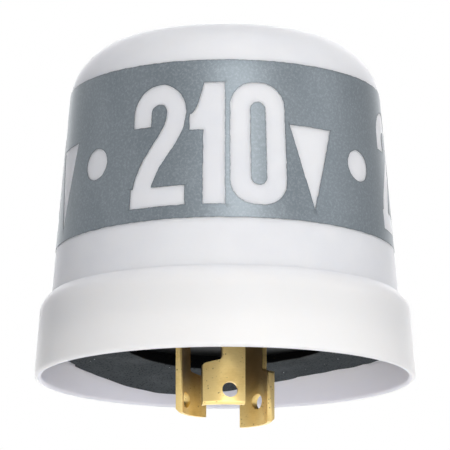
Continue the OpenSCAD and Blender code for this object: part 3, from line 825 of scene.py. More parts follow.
def tidy(piece: Piece, sharp: float) -> Piece:
    """Join doubles, point the faces outwards and shade smooth up to an angle.

    Args:
        piece: Closed piece.
        sharp: Angle in degrees past which an edge stays sharp.

    Returns:
        The same piece.
    """
    with editing(piece.data) as form:
        bmesh.ops.remove_doubles(form, verts=form.verts, dist=JOIN)
        bmesh.ops.dissolve_degenerate(form, edges=form.edges, dist=NO_SIZE)
        bmesh.ops.recalc_face_normals(form, faces=form.faces)
        for face in form.faces:
            face.smooth = True
    piece.data.set_sharp_from_angle(angle=math.radians(sharp))
    return piece


def hand_over(piece: Piece, finish: Finish, body: Body, *nodes: str) -> Piece:
    """Give a piece to the frame.

    Args:
        piece: Finished piece.
        finish: Its finish, for its material.
        body: Body that it rides on.
        *nodes: CAD nodes that it stands for.

    Returns:
        The same piece.
    """
    piece.data.materials.clear()
    piece.data.materials.append(finish.material())
    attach(piece, body.value)
    if nodes:
        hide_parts(*nodes)
    return piece


def sweep(centre: Point, radius: float, start: float, end: float, steps: int) -> Loop:
    """Points along an arc.

    Args:
        centre: Centre of the arc.
        radius: Its radius.
        start: First angle in degrees.
        end: Last angle in degrees.
        steps: Steps along it.

    Returns:
        The points, both ends included.
    """
    angles = [math.radians(start + (end - start) * step / steps) for step in range(steps + 1)]
    return [(centre[0] + radius * math.cos(a), centre[1] + radius * math.sin(a)) for a in angles]


class SubAssembly(ABC):
    """A group of pieces that belong together."""

    @abstractmethod
    def build(self) -> list[Piece]:
        """Make the pieces and hand them to the frame."""


@dataclass
class Cover(SubAssembly):
    """The white moulding: drafted dome, flared skirt and the catches that hold the base."""

    rim_r: float = 41.3
    rim_z: float = -5.7
    skirt_h: float = 18.5
    skirt_top_r: float = 39.85
    skirt_round: float = 4.8
    dome_low_r: float = 37.6
    dome_high_r: float = 33.9
    dome_side_h: float = 42.6
    shoulder_r: float = 14.0
    crown_r: float = 95.0
    wall: float = 1.5
    crease_r: float = 0.5
    catches: int = 6
    rib_t: float = 1.6
    rib_reach: float = 1.6
    rib_low: float = 10.05
    rib_h: float = 6.0
    lug_reach: float = 0.6
    lug_top: float = 2.95
    lug_h: float = 2.2
    lug_span: float = 12.0
    lug_steps: int = 6
    steps: int = 288
    crown_steps: int = 20
    shoulder_steps: int = 26
    side_steps: int = 12
    crease_steps: int = 6
    skirt_steps: int = 14
    rim_steps: int = 12
    halvings: int = 40
    shell_sharp: float = 40.0
    catch_sharp: float = 30.0

    @property
    def step_z(self) -> float:
        """Height where the dome leaves the skirt."""
        return self.rim_z + self.skirt_h

    @property
    def skirt_lean(self) -> float:
        """Draft of the skirt in degrees."""
        return math.degrees(math.atan((self.rim_r - self.skirt_top_r) / self.skirt_h))

    @property
    def dome_lean(self) -> float:
        """Draft of the dome in degrees."""
        return math.degrees(math.atan((self.dome_low_r - self.dome_high_r) / self.dome_side_h))

    @property
    def shoulder(self) -> Point:
        """Centre of the dome's shoulder arc.

        Returns:
            Its radius and height.
        """
        lean = math.radians(self.dome_lean)
        top = self.step_z + self.dome_side_h
        return self.dome_high_r - self.shoulder_r * math.cos(lean), top - self.shoulder_r * math.sin(lean)

    @property
    def crown_turn(self) -> float:
        """Angle in degrees at which the shoulder runs into the crown."""
        return math.degrees(math.acos(self.shoulder[0] / (self.crown_r - self.shoulder_r)))

    @property
    def crown_z(self) -> float:
        """Height of the crown arc's centre, on the axis."""
        turn = math.radians(self.crown_turn)
        return self.shoulder[1] - (self.crown_r - self.shoulder_r) * math.sin(turn)

    @property
    def skirt_arc(self) -> Point:
        """Centre of the skirt's shoulder arc."""
        height = self.step_z - self.skirt_round
        return self.skirt_r(height) - self.skirt_round / math.cos(math.radians(self.skirt_lean)), height

    def skirt_r(self, height: float) -> float:
        """Outer radius of the skirt's wall at a height."""
        return self.rim_r - math.tan(math.radians(self.skirt_lean)) * (height - self.rim_z)

    def skirt_inner_r(self, height: float) -> float:
        """Inner radius of the skirt's wall at a height."""
        return self.skirt_r(height) - self.wall / math.cos(math.radians(self.skirt_lean))

    def dome_r(self, height: float) -> float:
        """Outer radius of the dome, on its side or its shoulder.

        Args:
            height: Height on the dome.

        Returns:
            The radius.
        """
        lean = math.radians(self.dome_lean)
        across, middle = self.shoulder
        if height <= middle + self.shoulder_r * math.sin(lean):
            return self.dome_low_r - math.tan(lean) * (height - self.step_z)
        return across + math.sqrt(self.shoulder_r**2 - (height - middle) ** 2)

    def crease(self, inset: float, radius: float) -> tuple[Point, float]:
        """Fillet between dome and skirt on one face of the moulding.

        Args:
            inset: Distance in from the outer face.
            radius: Radius of the fillet.

        Returns:
            The fillet's centre, and the angle in degrees where it meets the skirt's shoulder arc.
        """
        lean = math.radians(self.dome_lean)
        middle, base = self.skirt_arc
        reach = self.skirt_round - inset + radius
        low, high = base, base + reach
        across, height = middle, base
        for _ in range(self.halvings):
            height = (low + high) / 2
            across = self.dome_r(height) + (radius - inset) / math.cos(lean)
            if math.hypot(across - middle, height - base) < reach:
                low = height
            else:
                high = height
        return (across, height), math.degrees(math.atan2(height - base, across - middle))

    def face(self, inset: float, crease: float) -> Loop:
        """One face of the moulding, from the axis at the top to the skirt's wall.

        Args:
            inset: Distance in from the outer face.
            crease: Radius of the fillet between dome and skirt.

        Returns:
            The points of the face.
        """
        lean, top = self.dome_lean, self.crown_turn
        points = sweep((0, self.crown_z), self.crown_r - inset, 90, top, self.crown_steps)
        points += sweep(self.shoulder, self.shoulder_r - inset, top, lean, self.shoulder_steps)[1:]
        middle, turn = self.crease(inset, crease)
        fillet = sweep(middle, crease, 180 + lean, 180 + turn, self.crease_steps)
        (high_r, high_z), (low_r, low_z) = points[-1], fillet[0]
        for step in range(1, self.side_steps):
            share = step / self.side_steps
            points.append((high_r + (low_r - high_r) * share, high_z + (low_z - high_z) * share))
        points += fillet
        radius = self.skirt_round - inset
        points += sweep(self.skirt_arc, radius, turn, self.skirt_lean, self.skirt_steps)[1:]
        return points

    def profile(self) -> Loop:
        """Draw the section of the wall, from the outer top round the rim to the inner top.

        Returns:
            The points of the section.
        """
        lean = math.radians(self.skirt_lean)
        middle = self.rim_z + self.wall / 2
        lip = (self.skirt_r(middle) - self.wall / 2 / math.cos(lean), middle)
        outer = self.face(0, self.crease_r)
        inner = self.face(self.wall, self.crease_r)
        rim = sweep(lip, self.wall / 2, self.skirt_lean, self.skirt_lean - 180, self.rim_steps)
        return outer + rim + inner[::-1]

    def rib(self) -> Piece:
        """Make one stop rib on the dome's inner face, on the X axis.

        Returns:
            The new piece.
        """
        top = self.rib_low + self.rib_h
        near = self.dome_r(top) - self.wall - self.rib_reach
        far = self.dome_r(top) - self.wall / 2
        section = [(near, self.rib_low), (far, self.rib_low), (far, top), (near, top)]
        half = self.rib_t / 2
        points = [(x, side, z) for side in (-half, half) for x, z in section]
        return new_piece("cover_ribs", points, [], skin(2, len(section)))

    def lug(self) -> Piece:
        """Make one snap lug on the skirt's inner face, half a space past the X axis.

        Returns:
            The new piece.
        """
        low = self.lug_top - self.lug_h
        section = [
            (self.skirt_inner_r(self.lug_top) - self.lug_reach, self.lug_top),
            (self.skirt_inner_r(self.lug_top) + self.wall / 2, self.lug_top),
            (self.skirt_inner_r(low) + self.wall / 2, low),
            (self.skirt_inner_r(low) + self.wall / 4, low),
            (self.skirt_inner_r(self.lug_top) - self.lug_reach, self.lug_top - self.lug_h / 3),
        ]
        points: list[Triple] = []
        for step in range(self.lug_steps + 1):
            angle = math.radians(180 / self.catches + self.lug_span * (step / self.lug_steps - 0.5))
            points += [(r * math.cos(angle), r * math.sin(angle), z) for r, z in section]
        return new_piece("cover_lugs", points, [], skin(self.lug_steps + 1, len(section)))

    def mark_skirt(self, shell: Piece) -> None:
        """Note on each point its share of painted warm light, on the skirt's outer face, and of painted
        cool shade, on its inner face.

        Args:
            shell: The turned wall.
        """
        outer = shell.data.attributes.new("skirt_outer", "FLOAT", "POINT")
        painted_lining_shade = shell.data.attributes.new("skirt_lining", "FLOAT", "POINT")
        for vertex in shell.data.vertices:
            x, y, z = (value / MM for value in vertex.co)
            if z < self.step_z:
                away = math.hypot(x, y) - (self.skirt_r(z) + self.skirt_inner_r(z)) / 2
                height = self.skirt_arc[1]
                fade = 1.0 if z < height else (self.step_z - z) / self.skirt_round
                # The outer face and top of the skirt take the painted light, its inner face the painted
                # shade.
                side = outer if away > 0 or z > height else painted_lining_shade
                side.data[vertex.index].value = fade

    def build(self) -> list[Piece]:
        """Turn the wall and set the catches round it.

        Returns:
            The pieces.
        """
        line = [(r, 0, z) for r, z in self.profile()]
        line[0], line[-1] = (0, 0, line[0][2]), (0, 0, line[-1][2])
        shell = new_piece("cover_shell", line, [(k, k + 1) for k in range(len(line) - 1)], [])
        turning_tree().run(shell, COVER_PLASTIC, Steps=self.steps)
        tidy(shell, self.shell_sharp)
        self.mark_skirt(shell)
        ring = ring_tree()
        pieces = [shell]
        for catch in (self.rib(), self.lug()):
            ring.run(catch, COVER_PLASTIC, Copies=self.catches, Start=0.0, Pitch=math.tau / self.catches)
            pieces.append(tidy(catch, self.catch_sharp))
        return [hand_over(piece, COVER_PLASTIC, Body.HOUSING, "cover") for piece in pieces]


@dataclass(frozen=True)
class SignShape:
    """One open shape in the print: closed outlines, and islands of ink inside them."""

    open: list[Loop]
    islands: list[Loop] = field(default_factory=list)

    def loops(self) -> list[Loop]:
        """All outlines."""
        return self.open + self.islands

    def holds(self, point: Point) -> bool:
        """Tell whether a point lies in the open part."""
        on_island = any(in_loop(point, loop) for loop in self.islands)
        return not on_island and any(in_loop(point, loop) for loop in self.open)


def sides(loop: Loop) -> list[tuple[Point, Point]]:
    """Sides of a closed outline, each with its two ends."""
    return list(zip(loop, loop[1:] + loop[:1]))


def in_loop(point: Point, loop: Loop) -> bool:
    """Tell whether a point lies inside a closed outline.

    Args:
        point: The point.
        loop: The outline.

    Returns:
        True if it lies inside.
    """
    x, y = point
    inside = False
    for (ax, ay), (bx, by) in sides(loop):
        if (ay > y) != (by > y) and x < ax + (y - ay) / (by - ay) * (bx - ax):
            inside = not inside
    return inside


def rounded_box(low: Point, high: Point, radius: float) -> Loop:
    """Draw a box with round corners, anticlockwise.

    Args:
        low: Lower left corner.
        high: Upper right corner.
        radius: Radius of the corners.

    Returns:
        The outline.
    """
    (x0, y0), (x1, y1) = (each + radius for each in low), (each - radius for each in high)
    loop: Loop = []
    for turn, middle in enumerate(((x1, y0), (x1, y1), (x0, y1), (x0, y0))):
        loop += sweep(middle, radius, 90 * (turn - 1), 90 * turn, CORNER_STEPS)
    return loop


def broad_line(path: Loop, width: float) -> Loop:
    """Draw a broad line along a path, with square ends.

    Args:
        path: Points along its middle.
        width: Its width.

    Returns:
        The outline.
    """
    left, right = [], []
    for k, (x, y) in enumerate(path):
        ax, ay = path[max(k - 1, 0)]
        bx, by = path[min(k + 1, len(path) - 1)]
        length = math.hypot(bx - ax, by - ay)
        nx, ny = -(by - ay) / length * width / 2, (bx - ax) / length * width / 2
        left.append((x + nx, y + ny))
        right.append((x - nx, y - ny))
    return left + right[::-1]


@dataclass(frozen=True)
class PrintSign:
    """One sign of the print and its place, in millimetres along the dome and up it.

    Lip, waist, heel, flag and notch are heights as shares of the whole height.
    """

    sign: Sign
    left: float
    low: float
    width: float
    height: float
    stroke: float = 4.3
    lip: float = 0.66
    waist: float = 0.5
    heel: float = 0.42
    flag: float = 0.74
    flag_over: float = 1.02
    notch: float = 0.61
    stem_gap: float = 0.3
    zero_round: float = 0.44
    zero_slack: float = 0.05
    bowl_steps: int = 20
    slant_steps: int = 16
    flag_steps: int = 8
    dot_steps: int = 48

    def shape(self) -> SignShape:
        """Draw the sign where it stands.

        Returns:
            Its outlines.
        """
        drawn = {
            Sign.TWO: self.two,
            Sign.ONE: self.one,
            Sign.ZERO: self.zero,
            Sign.ARROW: self.arrow,
            Sign.DOT: self.dot,
        }[self.sign]()

        def moved(loops: list[Loop]) -> list[Loop]:
            """Outlines moved to the sign's place."""
            return [[(x + self.left, y + self.low) for x, y in loop] for loop in loops]

        return SignShape(moved(drawn.open), moved(drawn.islands))

    def two(self) -> SignShape:
        """Draw the numeral two: a bowl, a slanting stroke and a foot.

        Returns:
            Its outlines.
        """
        w, h, t = self.width, self.height, self.stroke
        left, right = t / 2, w - t / 2
        path: Loop = [(left, h * self.lip)]
        path += sweep((w / 2, h - w / 2), w / 2 - t / 2, 180, 0, self.bowl_steps)
        pulls = [(right, h - w / 2), (right, h * self.waist), (left, h * self.heel), (left, 0.0)]
        for step in range(1, self.slant_steps + 1):
            u = step / self.slant_steps
            weights = ((1 - u) ** 3, 3 * u * (1 - u) ** 2, 3 * u * u * (1 - u), u**3)
            x, y = (sum(weight * pull[k] for weight, pull in zip(weights, pulls)) for k in (0, 1))
            path.append((x, y))
        foot = [(0.0, 0.0), (w, 0.0), (w, t), (0.0, t)]
        return SignShape([broad_line(path, t), foot])

    def one(self) -> SignShape:
        """Draw the numeral one: a stem with a curved flag.

        Returns:
            Its outline.
        """
        w, h = self.width, self.height
        stem = w - self.stroke - self.stem_gap
        notch = h * self.notch
        shares = [step / self.flag_steps for step in range(self.flag_steps + 1)]
        flag = [(stem * self.flag_over * u, h * (self.flag + (1 - self.flag) * u * u)) for u in shares]
        return SignShape([[(0.0, notch), (stem, notch), (stem, 0.0), (w, 0.0), (w, h)] + flag[::-1]])

    def zero(self) -> SignShape:
        """Draw the numeral zero: a tall ring.

        Returns:
            Its outline, with an island.
        """
        w, h, t = self.width, self.height, self.stroke
        inner = rounded_box((t, t), (w - t, h - t), (w - 2 * t) / 2 - self.zero_slack)
        return SignShape([rounded_box((0, 0), (w, h), w * self.zero_round)], [inner])

    def arrow(self) -> SignShape:
        """Plain triangle that points down."""
        return SignShape([[(0.0, self.height), (self.width / 2, 0.0), (self.width, self.height)]])

    def dot(self) -> SignShape:
        """Round dot."""
        half = self.width / 2
        return SignShape([sweep((half, half), half, 0, 360, self.dot_steps)[:-1]])


@dataclass
class PrintedBand(SubAssembly):
    """The grey print round the dome, with open numerals and dots."""

    cover: Cover
    low: float = 22.65
    height: float = 34.7
    gap: float = 0.03
    thickness: float = 0.05
    repeats: int = 3
    span: float = 103.5
    turn: float = -90.0
    first: float = -62.5
    dot_angle: float = -50.5
    dot_d: float = 6.8
    dot_rise: float = 14.6
    signs_rise: float = 2.9
    layout: tuple[tuple[Sign, float, float, float], ...] = (
        (Sign.TWO, -20.6, 12.2, 26.8),
        (Sign.ONE, -7.6, 7.6, 26.8),
        (Sign.ZERO, 1.1, 12.0, 26.8),
        (Sign.ARROW, 14.2, 10.2, 18.0),
    )
    grid: float = 1.3
    grid_clear: float = 0.5
    spacing: float = 0.4
    end_rows: int = 26
    end_fade: float = 2.0
    ragged: float = 0.1
    wave_scale: float = 0.9
    wave_layer: float = 3.7
    fine_scale: float = 2.4
    fine_layer: float = 8.1
    fine_share: float = 0.6
    edge_scale: float = 1.1
    edge_layer: float = 1.3
    edge_line: float = 0.24
    edge_share: float = 0.9
    same: float = 1e-5
    no_length: float = 1e-6
    droop: float = 0.6
    seam: float = 0.01
    sharp: float = 40.0

    @property
    def round_r(self) -> float:
        """Radius at which angles and lengths along the print agree."""
        return self.cover.dome_r(self.low + self.height / 2)

    def along(self, angle: float) -> float:
        """Length along the print of an angle in degrees."""
        return math.radians(angle) * self.round_r

    def signs(self) -> list[SignShape]:
        """Draw the shapes that one repeat leaves open.

        Returns:
            The shapes, with the dot last.
        """
        low = self.low + self.signs_rise
        placed = [PrintSign(sign, left, low, width, height) for sign, left, width, height in self.layout]
        return [sign.shape() for sign in placed] + [self.dot(0)]

    def dot(self, repeat: int) -> SignShape:
        """Draw the open dot of a repeat.

        Args:
            repeat: Number of the repeat, from 0.

        Returns:
            The dot.
        """
        left = self.along(self.dot_angle + repeat * self.span) - self.dot_d / 2
        low = self.low + self.dot_rise - self.dot_d / 2
        return PrintSign(Sign.DOT, left, low, self.dot_d, self.dot_d).shape()

    def roughen(self, loop: Loop) -> Loop:
        """Give an outline even points and the small waver of a rolled print.

        Args:
            loop: Closed outline.

        Returns:
            The new outline.
        """

        def waver(x: float, y: float, scale: float, layer: float) -> Vector:
            """Small shift at a point, from one layer of noise."""
            return noise.noise_vector(Vector((x * scale, y * scale, layer)))

        result: Loop = []
        for (ax, ay), (bx, by) in sides(loop):
            count = max(1, round(math.hypot(bx - ax, by - ay) / self.spacing))
            for step in range(count):
                share = step / count
                x, y = ax + (bx - ax) * share, ay + (by - ay) * share
                wave = waver(x, y, self.wave_scale, self.wave_layer)
                fine = waver(x, y, self.fine_scale, self.fine_layer)
                x += self.ragged * (wave.x + self.fine_share * fine.x)
                y += self.ragged * (wave.y + self.fine_share * fine.y)
                result.append((x, y))
        return result

    def frame(self, first: float, span: float) -> Loop:
        """Outline a stretch, wavering along its lower and upper edge and even at its ends.

        Args:
            first: Angle in degrees where it starts.
            span: Angle in degrees that it spans.

        Returns:
            The outline.
        """
        start, end = self.along(first), self.along(first + span)
        low, high = self.low, self.low + self.height
        count, rows = round((end - start) / self.spacing), self.end_rows
        line = [start + (end - start) * k / count for k in range(count + 1)]

        def waver(x: float, y: float) -> float:
            """Small rise or fall of an edge, none at the ends."""
            fade = min(1.0, (x - start) / self.end_fade, (end - x) / self.end_fade)
            return self.ragged * fade * noise.noise(Vector((x * self.edge_scale, y, self.edge_layer)))

        bottom = [(x, low + waver(x, low)) for x in line]
        top = [(x, high + waver(x, high)) for x in line[::-1]]
        right = [(end, low + self.height * k / rows) for k in range(1, rows)]
        left = [(start, high - self.height * k / rows) for k in range(1, rows)]
        return bottom + right + top + left

    def panel(self, name: str, first: float, span: float, signs: list[SignShape]) -> Piece:
        """Lay a stretch of the print on the dome as a sheet.

        Args:
            name: Name of the piece.
            first: Angle in degrees where it starts.
            span: Angle in degrees that it spans.
            signs: Shapes that it leaves open.

        Returns:
            The new piece.
        """
        frame = self.frame(first, span)
        shapes = [
            SignShape([self.roughen(x) for x in shape.open], [self.roughen(x) for x in shape.islands])
            for shape in signs
        ]
        loops = [frame] + [loop for shape in shapes for loop in shape.loops()]
        points: Loop = [point for loop in loops for point in loop]
        edges, done = [], 0
        for loop in loops:
            edges += [(done + k, done + (k + 1) % len(loop)) for k in range(len(loop))]
            done += len(loop)
        tree = KDTree(len(points))
        for k, (x, y) in enumerate(points):
            tree.insert((x, y, 0), k)
        tree.balance()
        ends = (self.along(first), self.along(first + span))
        points += self.rims(loops, tree) + self.inner_points(ends, tree)
        found = delaunay_2d_cdt([Vector(point) for point in points], edges, [], 0, self.same)
        flat, triangles = found[0], found[2]
        kept = []
        for triangle in triangles:
            middle = sum((flat[k] for k in triangle), Vector((0, 0))) / 3
            spot = (middle.x, middle.y)
            if in_loop(spot, frame) and not any(shape.holds(spot) for shape in shapes):
                kept.append(tuple(triangle))
        used = sorted({k for triangle in kept for k in triangle})
        place = {k: n for n, k in enumerate(used)}
        sheet = new_piece(
            name,
            [self.lift(flat[k].x, flat[k].y) for k in used],
            [],
            [tuple(place[k] for k in triangle) for triangle in kept],
        )
        layer = sheet.data.attributes.new("ink_edge", "FLOAT", "POINT")
        for n, k in enumerate(used):
            near, _, reach = tree.find((flat[k].x, flat[k].y, 0))
            away = min(abs(x - end) for x in (flat[k].x, near.x) for end in ends)
            layer.data[n].value = 0.0 if away < self.seam else max(0.0, 1 - reach / self.edge_line)
        return sheet

    def inner_points(self, ends: Point, tree: KDTree) -> Loop:
        """Spread even points over a stretch, clear of its outlines.

        Args:
            ends: Where the stretch starts and ends, along the print.
            tree: Points of the outlines.

        Returns:
            The points.
        """
        start, end = ends
        rows = round(self.height / self.grid)
        columns = round((end - start) / self.grid)
        result: Loop = []
        for i in range(1, columns):
            for j in range(1, rows):
                x = start + (end - start) * (i + 0.5 * (j % 2) - 0.25) / columns
                y = self.low + self.height * j / rows
                if tree.find((x, y, 0))[2] > self.grid_clear:
                    result.append((x, y))
        return result

    def rims(self, loops: list[Loop], tree: KDTree) -> Loop:
        """Set points a little way off each outline, so that the dark line along it is narrow.

        Args:
            loops: Outlines, with that of the whole stretch first.
            tree: Their points.

        Returns:
            The new points.
        """
        result: Loop = []
        for loop in loops:
            for (ax, ay), (bx, by) in sides(loop):
                length = math.hypot(bx - ax, by - ay)
                if length < self.no_length:
                    continue
                nx, ny = (by - ay) / length, -(bx - ax) / length
                for side in (-1, 1):
                    x = (ax + bx) / 2 + side * nx * self.edge_line
                    y = (ay + by) / 2 + side * ny * self.edge_line
                    clear = tree.find((x, y, 0))[2] > self.edge_line * self.edge_share
                    if clear and in_loop((x, y), loops[0]):
                        result.append((x, y))
        return result

    def lift(self, x: float, y: float) -> Triple:
        """Lay a point of the print on the dome.

        Args:
            x: Length along the print.
            y: Height.

        Returns:
            The point in space.
        """
        angle = math.radians(self.turn) + x / self.round_r
        r = self.cover.dome_r(y) + self.gap
        return r * math.cos(angle), r * math.sin(angle), y

    def close_ring(self, front: Piece, back: Piece) -> Piece:
        """Join the plain rest to the repeats, edge to edge.

        Args:
            front: The repeats, which take up the rest.
            back: The plain rest.

        Returns:
            The whole ring.
        """
        with editing(front.data) as ring:
            ring.from_mesh(back.data)
            bmesh.ops.remove_doubles(ring, verts=ring.verts, dist=self.seam * MM)
        bpy.data.objects.remove(back)
        return front

    def slip(self, piece: Piece) -> None:
        """Let the print droop a little at both sides, as a straight strip does on a cone.

        Args:
            piece: The whole ring.
        """
        for vertex in piece.data.vertices:
            x, y, z = (value / MM for value in vertex.co)
            away = math.hypot(x, y)
            height = z - self.droop * (x / away) ** 2
            stretch = (self.cover.dome_r(height) + self.gap) / away
            vertex.co = Vector((x * stretch, y * stretch, height)) * MM

    def build(self) -> list[Piece]:
        """Lay the repeats and the plain rest round the dome and give the ink its thickness.

        Returns:
            The piece.
        """
        last = self.repeats - 1
        pitch = math.radians(self.span)
        front = self.panel("printed_band_sheet", self.first, self.span, self.signs())
        ring_tree().run(front, BAND_INK, Copies=self.repeats, Start=-pitch, Pitch=pitch)
        rest = 360 - self.repeats * self.span
        back = self.panel("printed_band_rest", self.first + last * self.span, rest, [self.dot(last)])
        sheet = self.close_ring(front, back)
        self.slip(sheet)
        layer = sheet.modifiers.new("ink", "SOLIDIFY")
        layer.thickness = self.thickness * MM
        layer.offset = 1.0
        settle(sheet)
        for face in sheet.data.polygons:
            face.use_smooth = True
        sheet.data.set_sharp_from_angle(angle=math.radians(self.sharp))
        return [hand_over(sheet, BAND_INK, Body.HOUSING, "printed_band")]


@dataclass
class FoamGasket(SubAssembly):
    """The foam ring under the base, bent where it was pushed into the skirt."""

    cover: Cover
    hole_r: float = 22.0
    outer_r: float = 38.1
    top: float = 2.92
    wall_gap: float = 0.45
    edge_rise: float = 1.2
    sag: float = 4.2
    sag_angle: float = 107.0
    sag_spread: float = 33.0
    mouth_rise: float = 1.35
    mouth_spread: float = 38.0
    lip_rise: float = 0.35
    lip_round: float = 0.12
    face_inset: float = 0.4
    face_curve: float = 1.7
    pressed: float = 0.4
    edge_round: Point = (0.1, 0.15)
    edge_wall: float = 0.45
    back_rise: float = 0.6
    back_low: float = 1.9
    lump: float = 0.16
    lump_scale: float = 0.3
    lump_layer: float = 5.0
    lump_clear: float = 0.5
    wall_points: int = 3
    crumb_density: float = 1.2e4
    crumb_size: Point = (0.05, 0.13)
    crumb_flat: float = 0.4
    crumb_lean: float = -0.8
    crumb_seed: int = 11
    sharp: float = 45.0
    steps: int = 240
    rows: int = 22

    def bent(self, angle: float, spread: float) -> float:
        """Share of the bend at an angle in degrees: 1 at its middle and 0 far from it."""
        away = (angle - self.sag_angle + 180) % 360 - 180
        return math.exp(-((away / spread) ** 2))

    def section(self, angle: float) -> Loop:
        """Draw the section of the ring, with the wall of its hole first.

        Args:
            angle: Angle round the axis in degrees.

        Returns:
            The outline.
        """
        drop = self.edge_rise - self.sag * self.bent(angle, self.sag_spread)
        mouth = self.mouth_rise * (1 - self.bent(angle, self.mouth_spread))
        inside = self.cover.skirt_inner_r(drop) - self.wall_gap
        reach = inside if drop < self.pressed else self.outer_r
        hole = self.hole_r
        points: Loop = [(hole, self.top), (hole, (self.top + mouth) / 2), (hole, mouth + self.lip_rise)]
        points.append((hole + self.lip_round, mouth + self.lip_round))
        for row in range(self.rows + 1):
            share = row / self.rows
            r = hole + self.face_inset + (reach - hole - 2 * self.face_inset) * share
            points.append((r, mouth + (drop - mouth) * share**self.face_curve))
        points.append((reach - self.edge_round[0], drop + self.edge_round[1]))
        points.append((reach, drop + self.edge_wall))
        points.append((self.outer_r, max(drop + self.back_rise, self.back_low)))
        points.append((self.outer_r, self.top))
        return points

    def ring(self) -> Piece:
        """Make the foam as one closed ring with a slightly lumpy face.

        Returns:
            The new piece.
        """
        points: list[Triple] = []
        hole_shade_marks: list[float] = []
        for step in range(self.steps):
            angle = 360 * step / self.steps
            c, s = math.cos(math.radians(angle)), math.sin(math.radians(angle))
            for k, (r, z) in enumerate(self.section(angle)):
                x, y = r * c, r * s
                lump = noise.noise(Vector((x * self.lump_scale, y * self.lump_scale, self.lump_layer)))
                lift = self.lump * lump if z < self.top - self.lump_clear else 0.0
                points.append((x, y, z + lift))
                # Points on the wall of the hole are marked for its painted shade.
                hole_shade_marks.append(1.0 if k < self.wall_points else 0.0)
        faces = skin(self.steps, len(points) // self.steps, closed=True)
        piece = new_piece("gasket_foam", points, [], faces)
        piece.data.attributes.new("cut_wall", "FLOAT", "POINT").data.foreach_set("value", hole_shade_marks)
        return tidy(piece, self.sharp)

    def build(self) -> list[Piece]:
        """Make the ring and scatter pale crumbs on its lower face.

        Returns:
            The pieces.
        """
        foam = self.ring()
        crumbs = new_object("gasket_crumbs", foam.data.copy())
        small, large = (size * MM for size in self.crumb_size)
        crumb_tree().run(
            crumbs, CRUMB, Density=self.crumb_density, Smallest=small, Largest=large,
            Flatness=self.crumb_flat, Lean=self.crumb_lean, Seed=self.crumb_seed,
        )
        hand_over(foam, FOAM, Body.HOUSING, "gasket")
        crumbs.data.materials.clear()
        crumbs.data.materials.append(CRUMB.material())
        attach(crumbs, Body.HOUSING.value)
        return [foam, crumbs]


@dataclass
class BladeSet(SubAssembly):
    """The three curved locking blades, with the soft edges of stamped sheet."""

    nodes: dict[str, Piece]
    names: tuple[str, ...] = ("line_blade", "load_blade", "neutral_blade")
    edge: float = 0.18
    edge_steps: int = 3
    sharp: float = 32.0
    flat: float = 0.6
    outer_r: float = BLADE_OUTER_R
    thickness: float = BLADE_SHEET
    touch: float = 0.02
    facing: float = 0.5

    def soften(self, name: str) -> Piece:
        """Copy of a blade with rounded edges.

        Args:
            name: CAD node of the blade.

        Returns:
            The new piece.
        """
        piece = new_object(f"{name}_stamped", self.nodes[name].data.copy())
        with editing(piece.data) as form:
            bmesh.ops.remove_doubles(form, verts=form.verts, dist=2 * JOIN)
            limit = math.radians(self.flat)
            bmesh.ops.dissolve_limit(form, angle_limit=limit, verts=form.verts, edges=form.edges)
            for part in form.faces:
                part.smooth = True
        rounding = piece.modifiers.new("edges", "BEVEL")
        rounding.width = self.edge * MM
        rounding.segments = self.edge_steps
        rounding.limit_method = "ANGLE"
        rounding.angle_limit = math.radians(self.sharp)
        rounding.use_clamp_overlap = True
        rounding.harden_normals = False
        settle(piece)
        piece.data.set_sharp_from_angle(angle=math.radians(self.sharp))
        self.shade_round(piece.data)
        return piece

    def shade_round(self, mesh: bpy.types.Mesh) -> None:
        """Give the curved faces of a blade the normals of a true cylinder round the axis.

        Args:
            mesh: The blade's mesh.
        """

        def outward(point: Vector) -> Vector:
            """Direction away from the axis."""
            return Vector((point.x, point.y, 0)).normalized()

        normals = [Vector(corner.vector) for corner in mesh.corner_normals]
        away = [vertex.co.xy.length / MM for vertex in mesh.vertices]
        for face in mesh.polygons:
            lean = face.normal.dot(outward(face.center))
            for side, radius in ((1, self.outer_r), (-1, self.outer_r - self.thickness)):
                near = [abs(away[index] - radius) < self.touch for index in face.vertices]
                for loop, index, on_round in zip(face.loop_indices, face.vertices, near):
                    if on_round and (all(near) or lean * side > self.facing):
                        normals[loop] = outward(mesh.vertices[index].co) * side
        for edge in mesh.edges:
            edge.use_edge_sharp = True
        mesh.normals_split_custom_set(normals)

    def build(self) -> list[Piece]:
        """Soften each blade and hand it over."""
        return [hand_over(self.soften(name), BLADE_BRASS, Body.HOUSING, name) for name in self.names]


@dataclass
class InnerWorks(SubAssembly):
    """The base and all that stands on it, with the CAD's own meshes."""

    nodes: dict[str, Piece]
    finishes: dict[str, Finish] = field(
        default_factory=lambda: {
            "base": BASE_PLASTIC,
            "blade_rivets": RIVET_BRASS,
            "arm_bracket": BRACKET_BRASS,
            "contact_bracket": BRACKET_BRASS,
            "hinge_spring": SPRING_BRONZE,
            "spring_rivets": RIVET_BRASS,
            "bimetal_arm": BIMETAL,
            "moving_contact": CONTACT_SILVER,
            "contact_screw": RIVET_BRASS,
            "fixed_contact": CONTACT_SILVER,
            "lock_nut": RIVET_BRASS,
            "heater": HEATER_CERAMIC,
            "heater_leads": TINNED_WIRE,
            "lead_splice": TINNED_WIRE,
            "cell_support": SUPPORT_PLASTIC,
            "photocell": CELL_FACE,
            "photocell_leads": TINNED_WIRE,
            "surge_arrester": ARRESTER_COAT,
            "arrester_leads": TINNED_WIRE,
        }
    )

    def build(self) -> list[Piece]:
        """Give each node its finish.

        Returns:
            The nodes.
        """
        for name, finish in self.finishes.items():
            for place in self.nodes[name].material_slots:
                place.material = finish.material()
        return [self.nodes[name] for name in self.finishes]


